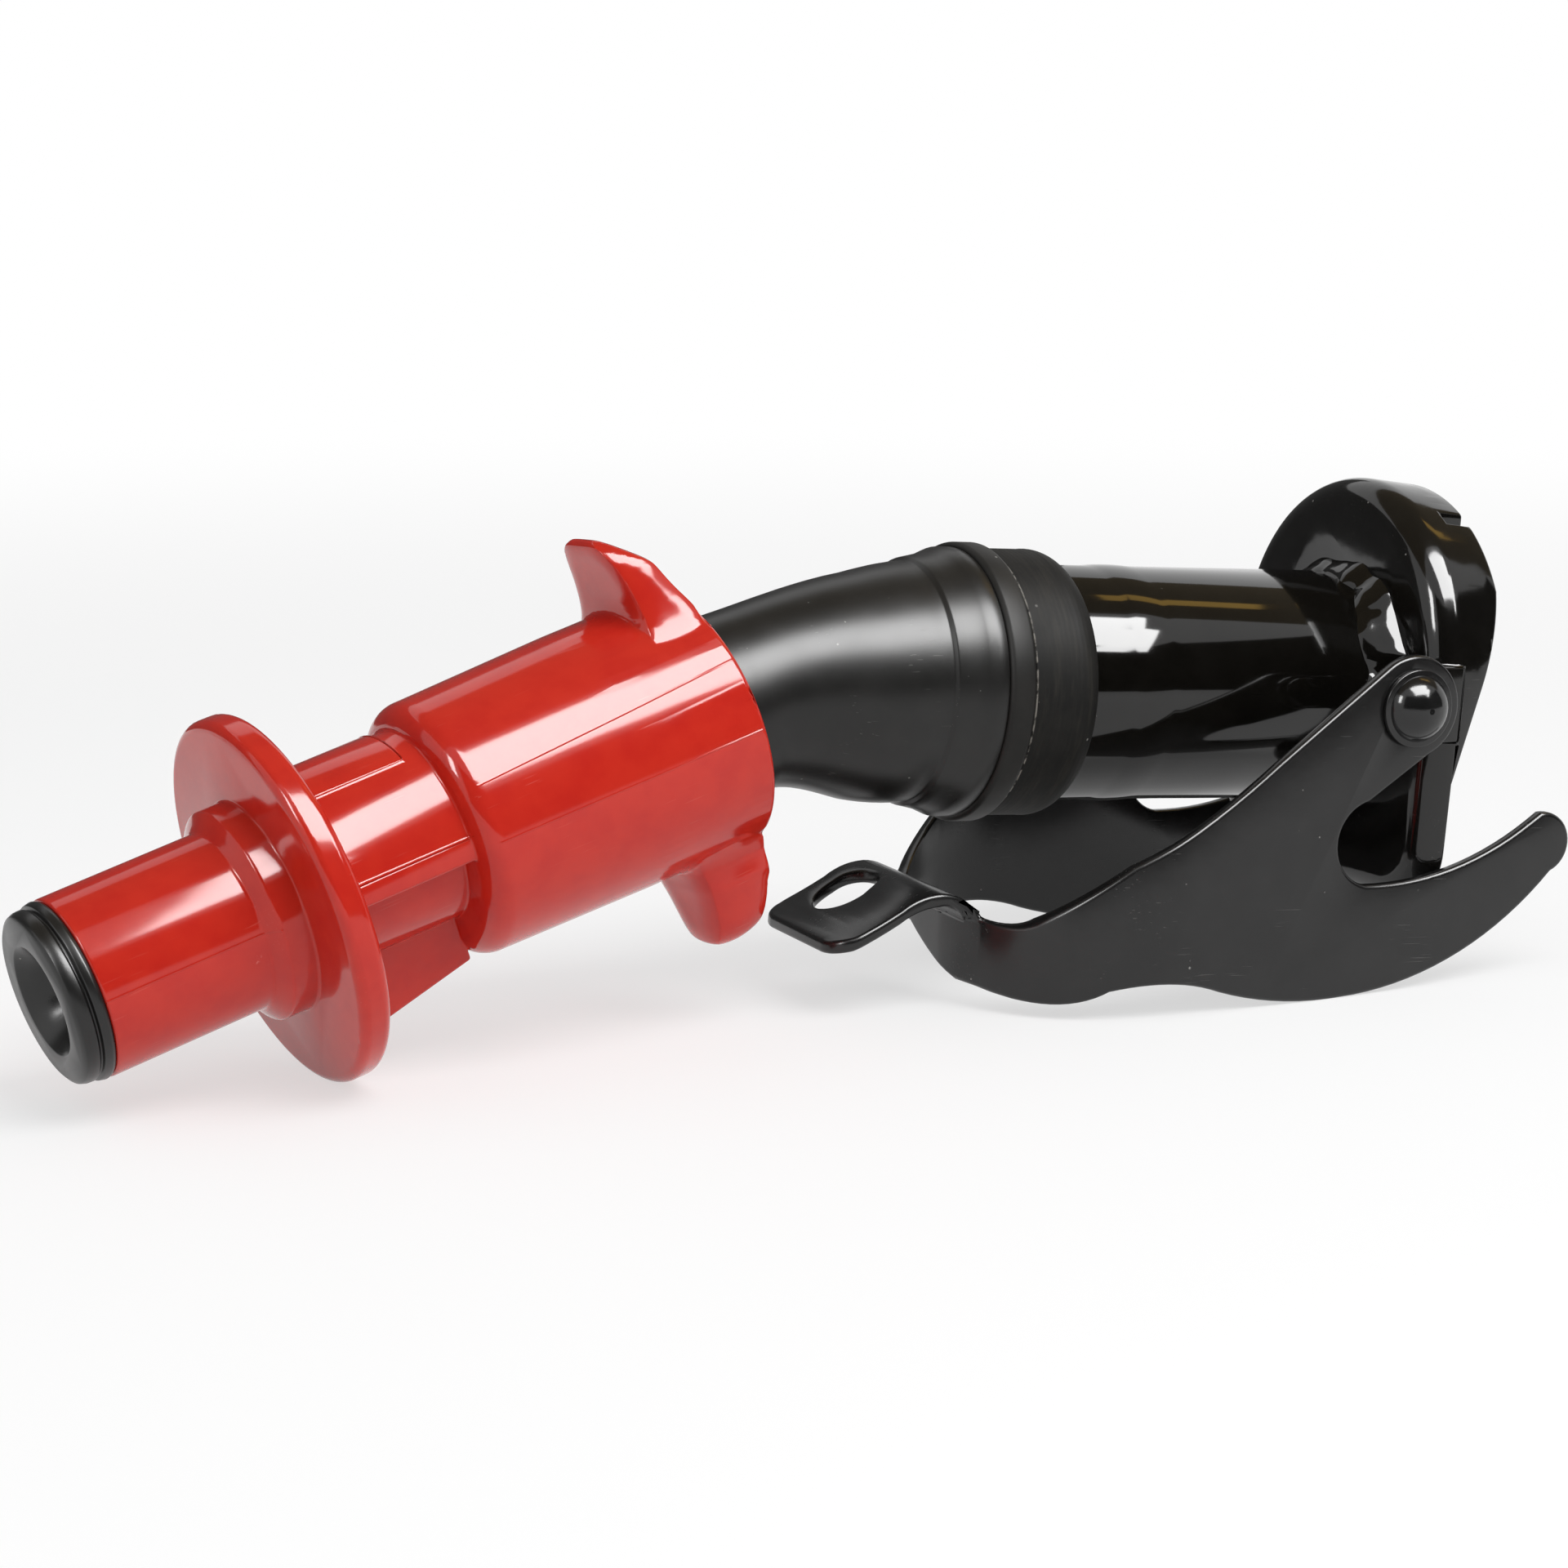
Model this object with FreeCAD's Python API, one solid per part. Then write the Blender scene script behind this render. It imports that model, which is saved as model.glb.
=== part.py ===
import FreeCAD, Part
import math
import os

from FreeCAD import Placement, Rotation, Vector

# Automatic jerry can spout, in millimetres.
# The origin is the centre of the mouth seal's face, on the axis of the steel tube.
# +X runs along the steel tube into the can, +Z away from the lever, and -X towards the nozzle.
# The bent front end is modelled along its own axis, x forward from the bend, and placed last.

# Front end: how it is bent and turned
bend_angle = 21.3
bend_to_seat = 88.7
swivel_at_rest = 16.0
sleeve_turn = -12.0

# Sleeve: the red moulding that slides, stations measured forward from the bend
sleeve_travel = 5.0
sleeve_rear = 12.7
body_front = 53.0
body_radius = 16.8
body_draft = 0.5
body_wall = 2.2
body_wall_front = 3.4
body_front_round = 3.2
body_rear_round = 0.8
body_taper = 16.0
neck_shell_radius = 13.7
neck_core_radius = 10.5
neck_rib_thickness = 2.8
neck_rib_radius = 14.0
gusset_radius = 20.0
flange_front = 74.9
flange_thickness = 4.1
flange_radius = 23.15
flange_edge = 1.3
shoulder_radius = 13.3
shoulder_length = 3.4
shoulder_rise = 1.5
shoulder_round = 0.6
nozzle_radius = 11.15
nozzle_front = 100.1
nozzle_bore = 9.0
panel_height = 0.3
panel_half_width = 7.6
panel_margin = 2.4

# Finger wings on the sleeve: front face, how far its foot stands back, crown, back slope
wing_foot_half = 12.4
top_wing_front = 22.2
top_wing_lean = 1.6
top_wing_reach = 10.1
top_wing_half = 7.0
top_wing_back = 15.8
top_wing_back_reach = 5.5
top_wing_hollow = 0.2
low_wing_front = 21.5
low_wing_lean = -0.9
low_wing_reach = 10.6
low_wing_half = 5.0
low_wing_back = 15.0
low_wing_back_reach = 9.4
low_wing_hollow = -0.6

# Tip cap, vent tube and the seals inside the nozzle
tip_length = 3.9
tip_radius = 10.7
tip_mouth = 6.9
tip_plug_radius = 8.4
tip_plug_rear = 96.4
tip_socket_radius = 4.6
tip_socket_start = 91.0
tip_socket_depth = 4.0
vent_radius = 3.0
vent_bore = 2.1
vent_rear = -7.0
vent_bend_radius = 40.0
tip_ring_station = 98.5
stem_ring_inset = 4.0
stem_ring_pitch = 4.5
ring_wire = 1.8
spider_thickness = 3.0
spider_leg = 1.4

# Elbow moulding
spigot_front = 20.0
guide_inset = 1.0
guide_width = 3.0
guide_thickness = 2.6
guide_margin = 0.7
stem_wall = 2.1
stem_front = 66.0
elbow_wall = 2.2
barrel_wall = 2.2
barrel_rear = -72.5
step_height = 0.8
step_ramp = 1.9
band_width = 3.3
band_height = 0.5
bend_sag = 0.7
socket_wall = 1.19
elbow_socket_end = -58.0

# Return spring
spring_wire = 1.5
spring_clearance = 1.45
spring_turns = 7
washer_sheet = 1.4

# Collar over the joint between elbow and steel tube
collar_ring_front = -65.6
collar_ring_width = 3.6
collar_ring_height = 1.45
cuff_wall = 0.7
cuff_rear = -52.0
cuff_round = 3.4
cuff_gap = 0.2
seal_thickness = 1.2

# Steel tube and head
tube_radius = 15.35
tube_wall = 1.5
bead_height = 0.2
bead_x = -42.5
bead_length = 7.0
tube_front = -67.0
sheet = 1.8
gasket_thickness = 5.0
gasket_inset = 2.4
gasket_width = 4.8
head_radius = 25.2
head_arch_z = 3.2
head_flat = -2.3
head_draft = 1.0
head_corner = 9.0
head_fillet = 4.0
skirt_rear = 4.4
skirt_high_z = 15.5
skirt_low_x = -2.6
skirt_low_z = -9.5
skirt_notch_y = 12.4
skirt_notch = 2.0
weld_leg = 2.0
ear_radius = 5.0

# Lever and its rivets
pivot_reach = 4.5
pivot_z = 1.1
eye_radius = 6.8
lever_gap = 0.3
lever_sheet = 1.8
web_x = -66.0
web_flat_half = 3.5
web_arch_near = -14.0
web_arch_far = 28.0
web_arch_crown = 4.0
web_arch_top = -32.4
web_arch_foot = -38.6
web_arch_depth = 16.0
tab_half_width = 11.5
tab_tip_x = -84.5
tab_tip_z = -33.8
tab_crest_x = -69.8
tab_crest_z = -27.4
tab_corner = 4.2
tab_hole_radius = 4.1
tab_hole_x = -75.6
tab_hole_y = 4.0
rivet_radius = 2.5
rivet_clearance = 0.06
rivet_head_radius = 4.4
rivet_head_height = 2.9
washer_radius = 5.1
washer_thickness = 0.7
rivet_tail_radius = 4.2
rivet_tail_height = 1.4

# Clearances
running = 0.06
slide_gap = 0.3
face_gap = 0.1

# Sizes that follow from the ones above
face_x = -gasket_thickness - sheet
pivot_x = face_x - pivot_reach
head_bottom_z = head_flat - head_radius
gasket_radius = head_radius - sheet - gasket_inset
gasket_bore = gasket_radius - gasket_width
socket_bore = tube_radius + running
sleeve_land_radius = socket_bore + socket_wall
step_radius = sleeve_land_radius + step_height
collar_ring_radius = sleeve_land_radius + collar_ring_height
cuff_radius = sleeve_land_radius + cuff_wall
barrel_bore = tube_radius - tube_wall - slide_gap - 0.25
barrel_radius = barrel_bore + barrel_wall
body_front_radius = body_radius - body_draft
body_bore = body_radius - body_wall
spigot_radius = body_bore - guide_thickness - slide_gap
stem_radius = nozzle_bore - slide_gap
stem_bore = stem_radius - stem_wall
spring_radius = stem_radius + spring_clearance + spring_wire / 2
flange_rear = flange_front - flange_thickness
shoulder_front = flange_front + shoulder_length
neck_step = body_front - body_wall_front
# The spigot is straight as far back as the guide ring goes at full travel.
bend_tangent = sleeve_rear + guide_inset - sleeve_travel - guide_margin
lever_inner = head_radius + lever_gap
lever_outer = lever_inner + lever_sheet
lever_bend = lever_outer - web_flat_half
lever_reach = pivot_x - web_x
rivet_seat = lever_outer + face_gap + washer_thickness
beyond = 4 * head_radius

AXIS = Vector(1, 0, 0)
UP = Vector(0, 0, 1)
ACROSS = Vector(0, 1, 0)
HERE = Vector(0, 0, 0)


def solid_of(shape):
    """Returns the one solid that a boolean result holds."""
    return shape.removeSplitter().Solids[0]


def turned(points):
    """Turns a profile of (station, radius) corners about the x axis."""
    corners = [Vector(x, 0, r) for x, r in points]
    wire = Part.makePolygon(corners + [corners[0]])
    return Part.Face(wire).revolve(HERE, AXIS, 360).Solids[0]


def tube(x_low, x_high, outer, inner):
    """A plain round tube along x."""
    return turned([(x_low, inner), (x_high, inner), (x_high, outer), (x_low, outer)])


def rod(x_low, x_high, radius):
    """A plain round rod along x."""
    return Part.makeCylinder(radius, x_high - x_low, Vector(x_low, 0, 0), AXIS)


def ring(station, centre_radius, wire):
    """A round-section ring about the x axis."""
    return Part.makeTorus(centre_radius, wire / 2, Vector(station, 0, 0), AXIS)


def block(x_low, x_high, y_low, y_high, z_low, z_high):
    """A box from its limits."""
    size = Vector(x_high - x_low, y_high - y_low, z_high - z_low)
    return Part.makeBox(size.x, size.y, size.z, Vector(x_low, y_low, z_low))


def arc(start, middle, end):
    """An arc edge through three points."""
    return Part.Arc(start, middle, end).toShape()


def line(start, end):
    """A straight edge."""
    return Part.LineSegment(start, end).toShape()


def round_edges(shape, radius, chosen):
    """Rounds the edges for which chosen says yes."""
    edges = [edge for edge in shape.Edges if chosen(edge)]
    return shape.makeFillet(radius, edges)


def front_placement(turn):
    """Places a piece of the bent front end: its own x runs forward along the nozzle."""
    spin = Rotation(AXIS, turn)
    about_face = Rotation(UP, 180)
    pitch = Rotation(ACROSS, -bend_angle)
    swivel = Rotation(AXIS, -swivel_at_rest)
    turned_by = swivel.multiply(pitch).multiply(about_face).multiply(spin)
    return Placement(Vector(-bend_to_seat, 0, 0), turned_by)


def placed_in_front(shape, turn=0.0):
    """Returns the shape placed on the nozzle's axis."""
    copy = shape.copy()
    copy.Placement = front_placement(turn).multiply(copy.Placement)
    return copy


# Sleeve

def sleeve_shell():
    """Nozzle tube, shoulder, flange, neck core and body, turned as one."""
    profile = [
        (sleeve_rear, body_bore),
        (neck_step, body_bore),
        (neck_step, nozzle_bore),
        (nozzle_front, nozzle_bore),
        (nozzle_front, nozzle_radius),
        (shoulder_front + shoulder_rise, nozzle_radius),
        (shoulder_front, shoulder_radius),
        (flange_front, shoulder_radius),
        (flange_front, flange_radius),
        (flange_rear, flange_radius),
        (flange_rear, neck_core_radius),
        (body_front, neck_core_radius),
        (body_front, body_front_radius),
        (body_front - body_wall_front, body_front_radius),
        (sleeve_rear + body_taper, body_radius),
        (sleeve_rear, body_radius),
    ]
    shell = turned(profile)

    def at(edge, station, radius):
        box = edge.BoundBox
        level = abs(box.XMin - station) < 0.01 and abs(box.XMax - station) < 0.01
        return level and abs(box.ZMax - radius) < 0.01

    shell = round_edges(shell, flange_edge, lambda e: at(e, flange_front, flange_radius))
    shell = round_edges(shell, flange_edge, lambda e: at(e, flange_rear, flange_radius))
    shell = round_edges(shell, body_front_round, lambda e: at(e, body_front, body_front_radius))
    shell = round_edges(shell, body_rear_round, lambda e: at(e, sleeve_rear, body_radius))
    return round_edges(shell, shoulder_round, lambda e: at(e, shoulder_front, shoulder_radius))


def neck_upper_shell():
    """The larger half shell over the top of the neck, with its parting ribs."""
    rear = body_front - 1.0
    front = flange_rear + 0.5
    shell = tube(rear, front, neck_shell_radius, neck_core_radius - 0.5)
    reach = neck_rib_radius
    half = neck_rib_thickness / 2
    keep = block(rear, front, -reach, reach, 0, reach)
    ribs = tube(rear, front, neck_rib_radius, neck_core_radius - 0.5)
    slab = block(rear, front, -reach, reach, -half, half)
    return shell.common(keep).fuse(ribs.common(slab))


def neck_gusset():
    """The tapering web under the neck, from the flange down to the body."""
    half = neck_rib_thickness / 2
    inner = neck_core_radius - 0.5
    rear = body_front - 0.5
    front = flange_rear + 0.5
    corners = [
        Vector(rear, -half, -inner),
        Vector(front, -half, -inner),
        Vector(front, -half, -gusset_radius),
        Vector(rear, -half, 0.1 - body_front_radius),
    ]
    face = Part.Face(Part.makePolygon(corners + [corners[0]]))
    return face.extrude(ACROSS * neck_rib_thickness)


def neck_panel():
    """The bare raised panel on top of the neck."""
    rear = body_front + panel_margin
    front = flange_rear - panel_margin
    outer = tube(rear, front, neck_shell_radius + panel_height, neck_core_radius)
    wedge = block(rear, front, -panel_half_width, panel_half_width, 0, 2 * neck_shell_radius)
    return outer.common(wedge)


def wing_side(front, lean, reach, back, back_reach, hollow):
    """Side view of a wing: back slope, rounded crown and the front face for the fingers."""
    height = body_radius + reach
    back_height = body_radius + back_reach
    foot = body_radius * 0.6
    rear = sleeve_rear + 0.4
    hip = body_radius - 0.9
    top_rear = Vector(back, 0, back_height)
    top_front = Vector(front - 1.2, 0, height)
    lip = Vector(front, 0, height - 1.2)
    toe = Vector(front - lean, 0, body_radius - 0.4)
    crown_middle = Vector((back + front) / 2, 0, (back_height + height) / 2 + 0.5)
    back_middle = (Vector(rear, 0, hip) + top_rear) * 0.5 + Vector(hollow, 0, -hollow / 2)
    face_middle = Vector(front - lean / 2 - 0.4, 0, (lip.z + toe.z) / 2)
    edges = [
        line(Vector(rear, 0, foot), Vector(rear, 0, hip)),
        arc(Vector(rear, 0, hip), back_middle, top_rear),
        arc(top_rear, crown_middle, top_front),
        arc(top_front, Vector(front - 0.25, 0, height - 0.3), lip),
        arc(lip, face_middle, toe),
        line(toe, Vector(toe.x, 0, foot)),
        line(Vector(toe.x, 0, foot), Vector(rear, 0, foot)),
    ]
    slab = Part.Face(Part.Wire(edges)).extrude(ACROSS * (2 * body_radius))
    slab.translate(Vector(0, -body_radius, 0))
    return slab


def wing_section(station, tip_half, reach):
    """Outline of a wing seen along the nozzle: flared at its foot, round at the crown."""
    height = body_radius + reach
    knee = body_radius + reach * 0.2
    crown = height - tip_half * 0.62
    shoulder = height - tip_half * 0.2
    waist = tip_half + (wing_foot_half - tip_half) * 0.2
    ankle = tip_half + (wing_foot_half - tip_half) * 0.45
    right = [(wing_foot_half, body_radius * 0.6), (waist, knee), (tip_half, crown)]
    near = [Vector(station, y, z) for y, z in right]
    far = [Vector(station, -y, z) for y, z in right]
    peak = Vector(station, 0, height + 0.4)
    return Part.Wire([
        arc(near[0], Vector(station, ankle, body_radius * 0.89), near[1]),
        line(near[1], near[2]),
        arc(near[2], Vector(station, tip_half * 0.74, shoulder), peak),
        arc(peak, Vector(station, -tip_half * 0.74, shoulder), far[2]),
        line(far[2], far[1]),
        arc(far[1], Vector(station, -ankle, body_radius * 0.89), far[0]),
        line(far[0], near[0]),
    ])


def finger_wing(front, lean, reach, tip_half, back, back_reach, hollow):
    """One finger wing: a rounded paddle that flares into the sleeve's body."""
    face = Part.Face(wing_section(sleeve_rear, tip_half, reach))
    paddle = face.extrude(AXIS * (front + abs(lean) - sleeve_rear))
    return paddle.common(wing_side(front, lean, reach, back, back_reach, hollow))


def red_sleeve():
    """The whole sleeve as one moulding, bored through."""
    top_wing = finger_wing(
        top_wing_front, top_wing_lean, top_wing_reach, top_wing_half,
        top_wing_back, top_wing_back_reach, top_wing_hollow,
    )
    low_wing = finger_wing(
        low_wing_front, low_wing_lean, low_wing_reach, low_wing_half,
        low_wing_back, low_wing_back_reach, low_wing_hollow,
    )
    low_wing.rotate(HERE, AXIS, 180)
    shape = sleeve_shell().fuse([neck_upper_shell(), neck_gusset(), neck_panel(), top_wing, low_wing])
    shape = shape.cut(rod(sleeve_rear - 1.0, neck_step, body_bore))
    shape = shape.cut(rod(neck_step - 1.0, nozzle_front + 1.0, nozzle_bore))
    return solid_of(shape)


def rear_guide_ring():
    """Snap ring in the sleeve's rear mouth, which runs along the spigot."""
    rear = sleeve_rear + guide_inset
    return tube(rear, rear + guide_width, body_bore, spigot_radius + slide_gap)


def front_spring_washer():
    """Washer between the spring and the step inside the sleeve, free to let the sleeve turn."""
    front = neck_step - face_gap
    return tube(front - washer_sheet, front, body_bore - slide_gap, stem_radius + slide_gap)


# Elbow and what it carries

def bend_frame(angle):
    """Direction of the elbow's line after turning by angle from the steel tube's axis."""
    return Vector(-math.cos(math.radians(angle)), 0, -math.sin(math.radians(angle)))


def elbow_loft(front_radius, rear_radius, sag=0.0, overrun=0.0):
    """Bent, flaring body of the elbow, lofted through circles along the bend."""
    straight_count = 6
    bend_count = 10
    bend_radius = bend_tangent / math.tan(math.radians(bend_angle / 2))
    start = Vector(-bend_to_seat + bend_tangent, 0, 0)
    centre = start + Vector(0, 0, -bend_radius)
    straight = barrel_rear - start.x
    total = straight + bend_radius * math.radians(bend_angle)
    sections = []

    def add_section(where, heading, along):
        share = along / total
        flare = 3 * share ** 2 - 2 * share ** 3
        radius = rear_radius + (front_radius - rear_radius) * flare
        sunk = where - UP * (sag * math.sin(math.pi * share))
        sections.append(Part.Wire(Part.Circle(sunk, heading, radius).toShape()))

    for step in range(straight_count):
        along = straight * step / straight_count
        behind = overrun if step == 0 else 0.0
        add_section(Vector(barrel_rear - along + behind, 0, 0), Vector(-1, 0, 0), along)
    for step in range(bend_count + 1):
        angle = math.radians(bend_angle * step / bend_count)
        heading = bend_frame(bend_angle * step / bend_count)
        where = centre + Vector(-math.sin(angle), 0, math.cos(angle)) * bend_radius
        ahead = overrun if step == bend_count else 0.0
        add_section(where + heading * ahead, heading, straight + bend_radius * angle)
    return Part.makeLoft(sections, True, True)


def elbow():
    """Elbow moulding: socket for the steel tube, flared bend, spigot and stem for the sleeve."""
    bend = elbow_loft(spigot_radius, barrel_radius, bend_sag)
    bend = bend.cut(elbow_loft(spigot_radius - elbow_wall, barrel_bore, overrun=0.5))
    socket_floor = tube_front - face_gap - seal_thickness
    band_rear = barrel_rear + band_width
    outside = turned([
        (barrel_rear, 0.0),
        (elbow_socket_end, 0.0),
        (elbow_socket_end, sleeve_land_radius),
        (collar_ring_front, sleeve_land_radius),
        (collar_ring_front, step_radius),
        (band_rear + step_ramp, step_radius),
        (band_rear, sleeve_land_radius),
        (barrel_rear + band_height, barrel_radius + band_height),
        (barrel_rear, barrel_radius),
    ])
    outside = outside.cut(rod(socket_floor, elbow_socket_end + 1, socket_bore))
    outside = outside.cut(rod(barrel_rear - 1, socket_floor + 1, barrel_bore))
    mouth = bend_tangent - 1.0
    stem = turned([
        (bend_tangent, 0.0),
        (stem_front, 0.0),
        (stem_front, stem_radius),
        (spigot_front, stem_radius),
        (spigot_front, spigot_radius),
        (bend_tangent, spigot_radius),
    ])
    waterway = turned([
        (mouth, 0.0),
        (stem_front + 1, 0.0),
        (stem_front + 1, stem_bore),
        (spigot_front - 3.0, stem_bore),
        (mouth, spigot_radius - elbow_wall),
    ])
    for station in stem_ring_stations():
        stem = stem.cut(ring_groove(station, stem_radius))
    stem = stem.cut(waterway)
    stem.Placement = elbow_placement()
    shape = solid_of(bend.fuse([stem, outside]))
    shape.rotate(HERE, AXIS, -swivel_at_rest)
    return shape


def elbow_placement():
    """Placement of the nozzle's axis before the swivel."""
    turned_by = Rotation(ACROSS, -bend_angle).multiply(Rotation(UP, 180))
    return Placement(Vector(-bend_to_seat, 0, 0), turned_by)


def stem_ring_stations():
    """Where the two seal rings sit on the stem."""
    front = stem_front - stem_ring_inset
    return [front, front - stem_ring_pitch]


def ring_groove(station, land_radius):
    """Cutter for the groove of one seal ring, open to the nozzle's bore."""
    half = ring_wire / 2 + 0.05
    return tube(station - half, station + half, land_radius + 1, nozzle_bore - running - ring_wire)


def seal_ring(station):
    """One round seal ring that just fills the nozzle's bore."""
    return ring(station, nozzle_bore - running - ring_wire / 2, ring_wire)


def swivel_seal():
    """Flat fibre ring between the elbow's socket floor and the end of the steel tube."""
    rear = tube_front - face_gap
    return tube(rear - seal_thickness, rear, tube_radius - face_gap, tube_radius - tube_wall)


def vent_tube():
    """Air tube from the tip cap back through the bend to the head."""
    bend = math.radians(bend_angle)
    reach = vent_bend_radius * math.tan(bend / 2)
    vertex = Vector(-bend_to_seat, 0, 0)
    forward = bend_frame(bend_angle)
    rear = Vector(vent_rear, 0, 0)
    first = vertex + Vector(reach, 0, 0)
    last = vertex + forward * reach
    front = vertex + forward * (tip_socket_start + tip_socket_depth)
    centre = first + Vector(0, 0, -vent_bend_radius)
    half = bend / 2
    middle = centre + Vector(-math.sin(half), 0, math.cos(half)) * vent_bend_radius
    path = Part.Wire([line(rear, first), arc(first, middle, last), line(last, front)])
    outer = Part.Wire(Part.Circle(rear, Vector(-1, 0, 0), vent_radius).toShape())
    inner = Part.Wire(Part.Circle(rear, Vector(-1, 0, 0), vent_bore).toShape())
    solid = path.makePipeShell([outer], True, False)
    hollow = path.makePipeShell([inner], True, False)
    shape = solid.cut(hollow)
    whole = shape.Solids[0]
    whole.rotate(HERE, AXIS, -swivel_at_rest)
    return whole


def tip_cap():
    """Black cap at the nozzle's end: funnel mouth, valve plug and socket for the vent tube."""
    seat = nozzle_front + face_gap / 2
    face = nozzle_front + tip_length
    socket_end = tip_socket_start + tip_socket_depth
    shape = turned([
        (tip_socket_start, vent_radius),
        (socket_end, vent_radius),
        (socket_end, vent_bore),
        (socket_end + 2.0, vent_bore),
        (face - 1.6, tip_mouth - 1.6),
        (face, tip_mouth),
        (face, tip_radius - 0.9),
        (face - 0.4, tip_radius - 0.25),
        (face - 1.1, tip_radius),
        (face - 1.9, tip_radius + 0.05),
        (face - 2.05, tip_radius - 0.3),
        (face - 2.35, tip_radius - 0.3),
        (face - 2.5, tip_radius + 0.25),
        (seat + 0.5, tip_radius + 0.45),
        (seat, tip_radius + 0.2),
        (seat, tip_plug_radius),
        (tip_plug_rear + 0.8, tip_plug_radius),
        (tip_plug_rear, tip_plug_radius - 0.8),
        (tip_plug_rear, tip_socket_radius),
        (tip_socket_start, tip_socket_radius),
    ])
    return shape.cut(ring_groove(tip_ring_station, tip_plug_radius)).Solids[0]


def vent_spider(x_high, outer):
    """Three-legged ring that centres the vent tube in a bore."""
    x_low = x_high - spider_thickness
    hub = tube(x_low, x_high, vent_radius + 1.2, vent_radius)
    rim = tube(x_low, x_high, outer, outer - 0.9)
    half = spider_leg / 2
    legs = []
    for number in range(3):
        leg = block(x_low, x_high, -half, half, vent_radius + 0.6, outer - 0.4)
        leg.rotate(HERE, AXIS, 120 * number)
        legs.append(leg)
    return solid_of(hub.fuse([rim] + legs))


def rear_vent_spider():
    """The larger spider, in the elbow's barrel just ahead of the steel tube."""
    shape = vent_spider(barrel_rear + spider_thickness, barrel_bore)
    shape.rotate(HERE, AXIS, -swivel_at_rest)
    return shape


def return_spring():
    """Compression spring between the spigot's shoulder and the sleeve's inner step."""
    low = spigot_front + washer_sheet + face_gap
    high = neck_step - washer_sheet - 2 * face_gap
    turns = spring_turns
    rise = (high - low - spring_wire) / turns
    quarter = 4
    edges = []
    start = low + spring_wire / 2

    def point(share):
        angle = 2 * math.pi * share
        return Vector(start + rise * share, spring_radius * math.cos(angle), spring_radius * math.sin(angle))

    steps = turns * quarter
    for step in range(steps):
        low_share = step / quarter
        high_share = (step + 1) / quarter
        edges.append(arc(point(low_share), point((low_share + high_share) / 2), point(high_share)))
    path = Part.Wire(edges)
    begin = point(0)
    ahead = path.Edges[0].tangentAt(path.Edges[0].FirstParameter)
    section = Part.Wire(Part.Circle(begin, ahead, spring_wire / 2).toShape())
    coil = path.makePipeShell([section], True, False)
    print("spring: least gap between turns", round(rise - spring_wire, 2))
    return coil


def rear_spring_washer():
    """Washer that the spring pushes on at the spigot's shoulder."""
    return tube(spigot_front, spigot_front + washer_sheet, body_bore - slide_gap, stem_radius)


# Collar

def collar_ring():
    """Hard ring at the front of the rubber cuff, against the elbow's step."""
    rear = collar_ring_front + collar_ring_width
    return turned([
        (collar_ring_front, sleeve_land_radius),
        (rear, sleeve_land_radius),
        (rear, collar_ring_radius - 0.4),
        (rear - 0.4, collar_ring_radius),
        (collar_ring_front + 0.5, collar_ring_radius),
        (collar_ring_front, collar_ring_radius - 0.5),
    ])


def rubber_cuff():
    """Rubber cuff over the joint, bonded to the elbow and wiping on the steel tube."""
    front = collar_ring_front + collar_ring_width + cuff_gap
    lip = socket_bore
    shoulder = Vector(cuff_rear - cuff_round, 0, cuff_radius)
    corners = [
        Vector(front, 0, cuff_radius),
        Vector(front, 0, sleeve_land_radius),
        Vector(elbow_socket_end, 0, sleeve_land_radius),
        Vector(elbow_socket_end, 0, lip),
        Vector(cuff_rear, 0, lip),
        Vector(cuff_rear, 0, lip + 0.5),
    ]
    edges = [line(corners[i], corners[i + 1]) for i in range(len(corners) - 1)]
    edges.append(arc(corners[-1], Vector(cuff_rear - cuff_round * 0.3, 0, cuff_radius - 0.45), shoulder))
    edges.append(line(shoulder, corners[0]))
    return Part.Face(Part.Wire(edges)).revolve(HERE, AXIS, 360).Solids[0]


# Steel tube and head

def steel_tube():
    """Welded steel tube with a low rolled bead behind the cuff."""
    rear = -gasket_thickness
    low = bead_x - bead_length / 2
    high = bead_x + bead_length / 2
    edges = [
        line(Vector(tube_front, 0, tube_radius - tube_wall), Vector(tube_front, 0, tube_radius)),
        line(Vector(tube_front, 0, tube_radius), Vector(low, 0, tube_radius)),
        arc(
            Vector(low, 0, tube_radius),
            Vector(bead_x, 0, tube_radius + bead_height),
            Vector(high, 0, tube_radius),
        ),
        line(Vector(high, 0, tube_radius), Vector(rear, 0, tube_radius)),
        line(Vector(rear, 0, tube_radius), Vector(rear, 0, tube_radius - tube_wall)),
        line(Vector(rear, 0, tube_radius - tube_wall), Vector(tube_front, 0, tube_radius - tube_wall)),
    ]
    return Part.Face(Part.Wire(edges)).revolve(HERE, AXIS, 360).Solids[0]


def weld_bead():
    """Fillet weld where the tube meets the head's face."""
    return turned([
        (face_x, tube_radius),
        (face_x, tube_radius + weld_leg),
        (face_x - weld_leg * 0.45, tube_radius + weld_leg * 0.62),
        (face_x - weld_leg * 1.1, tube_radius),
    ])


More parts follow.
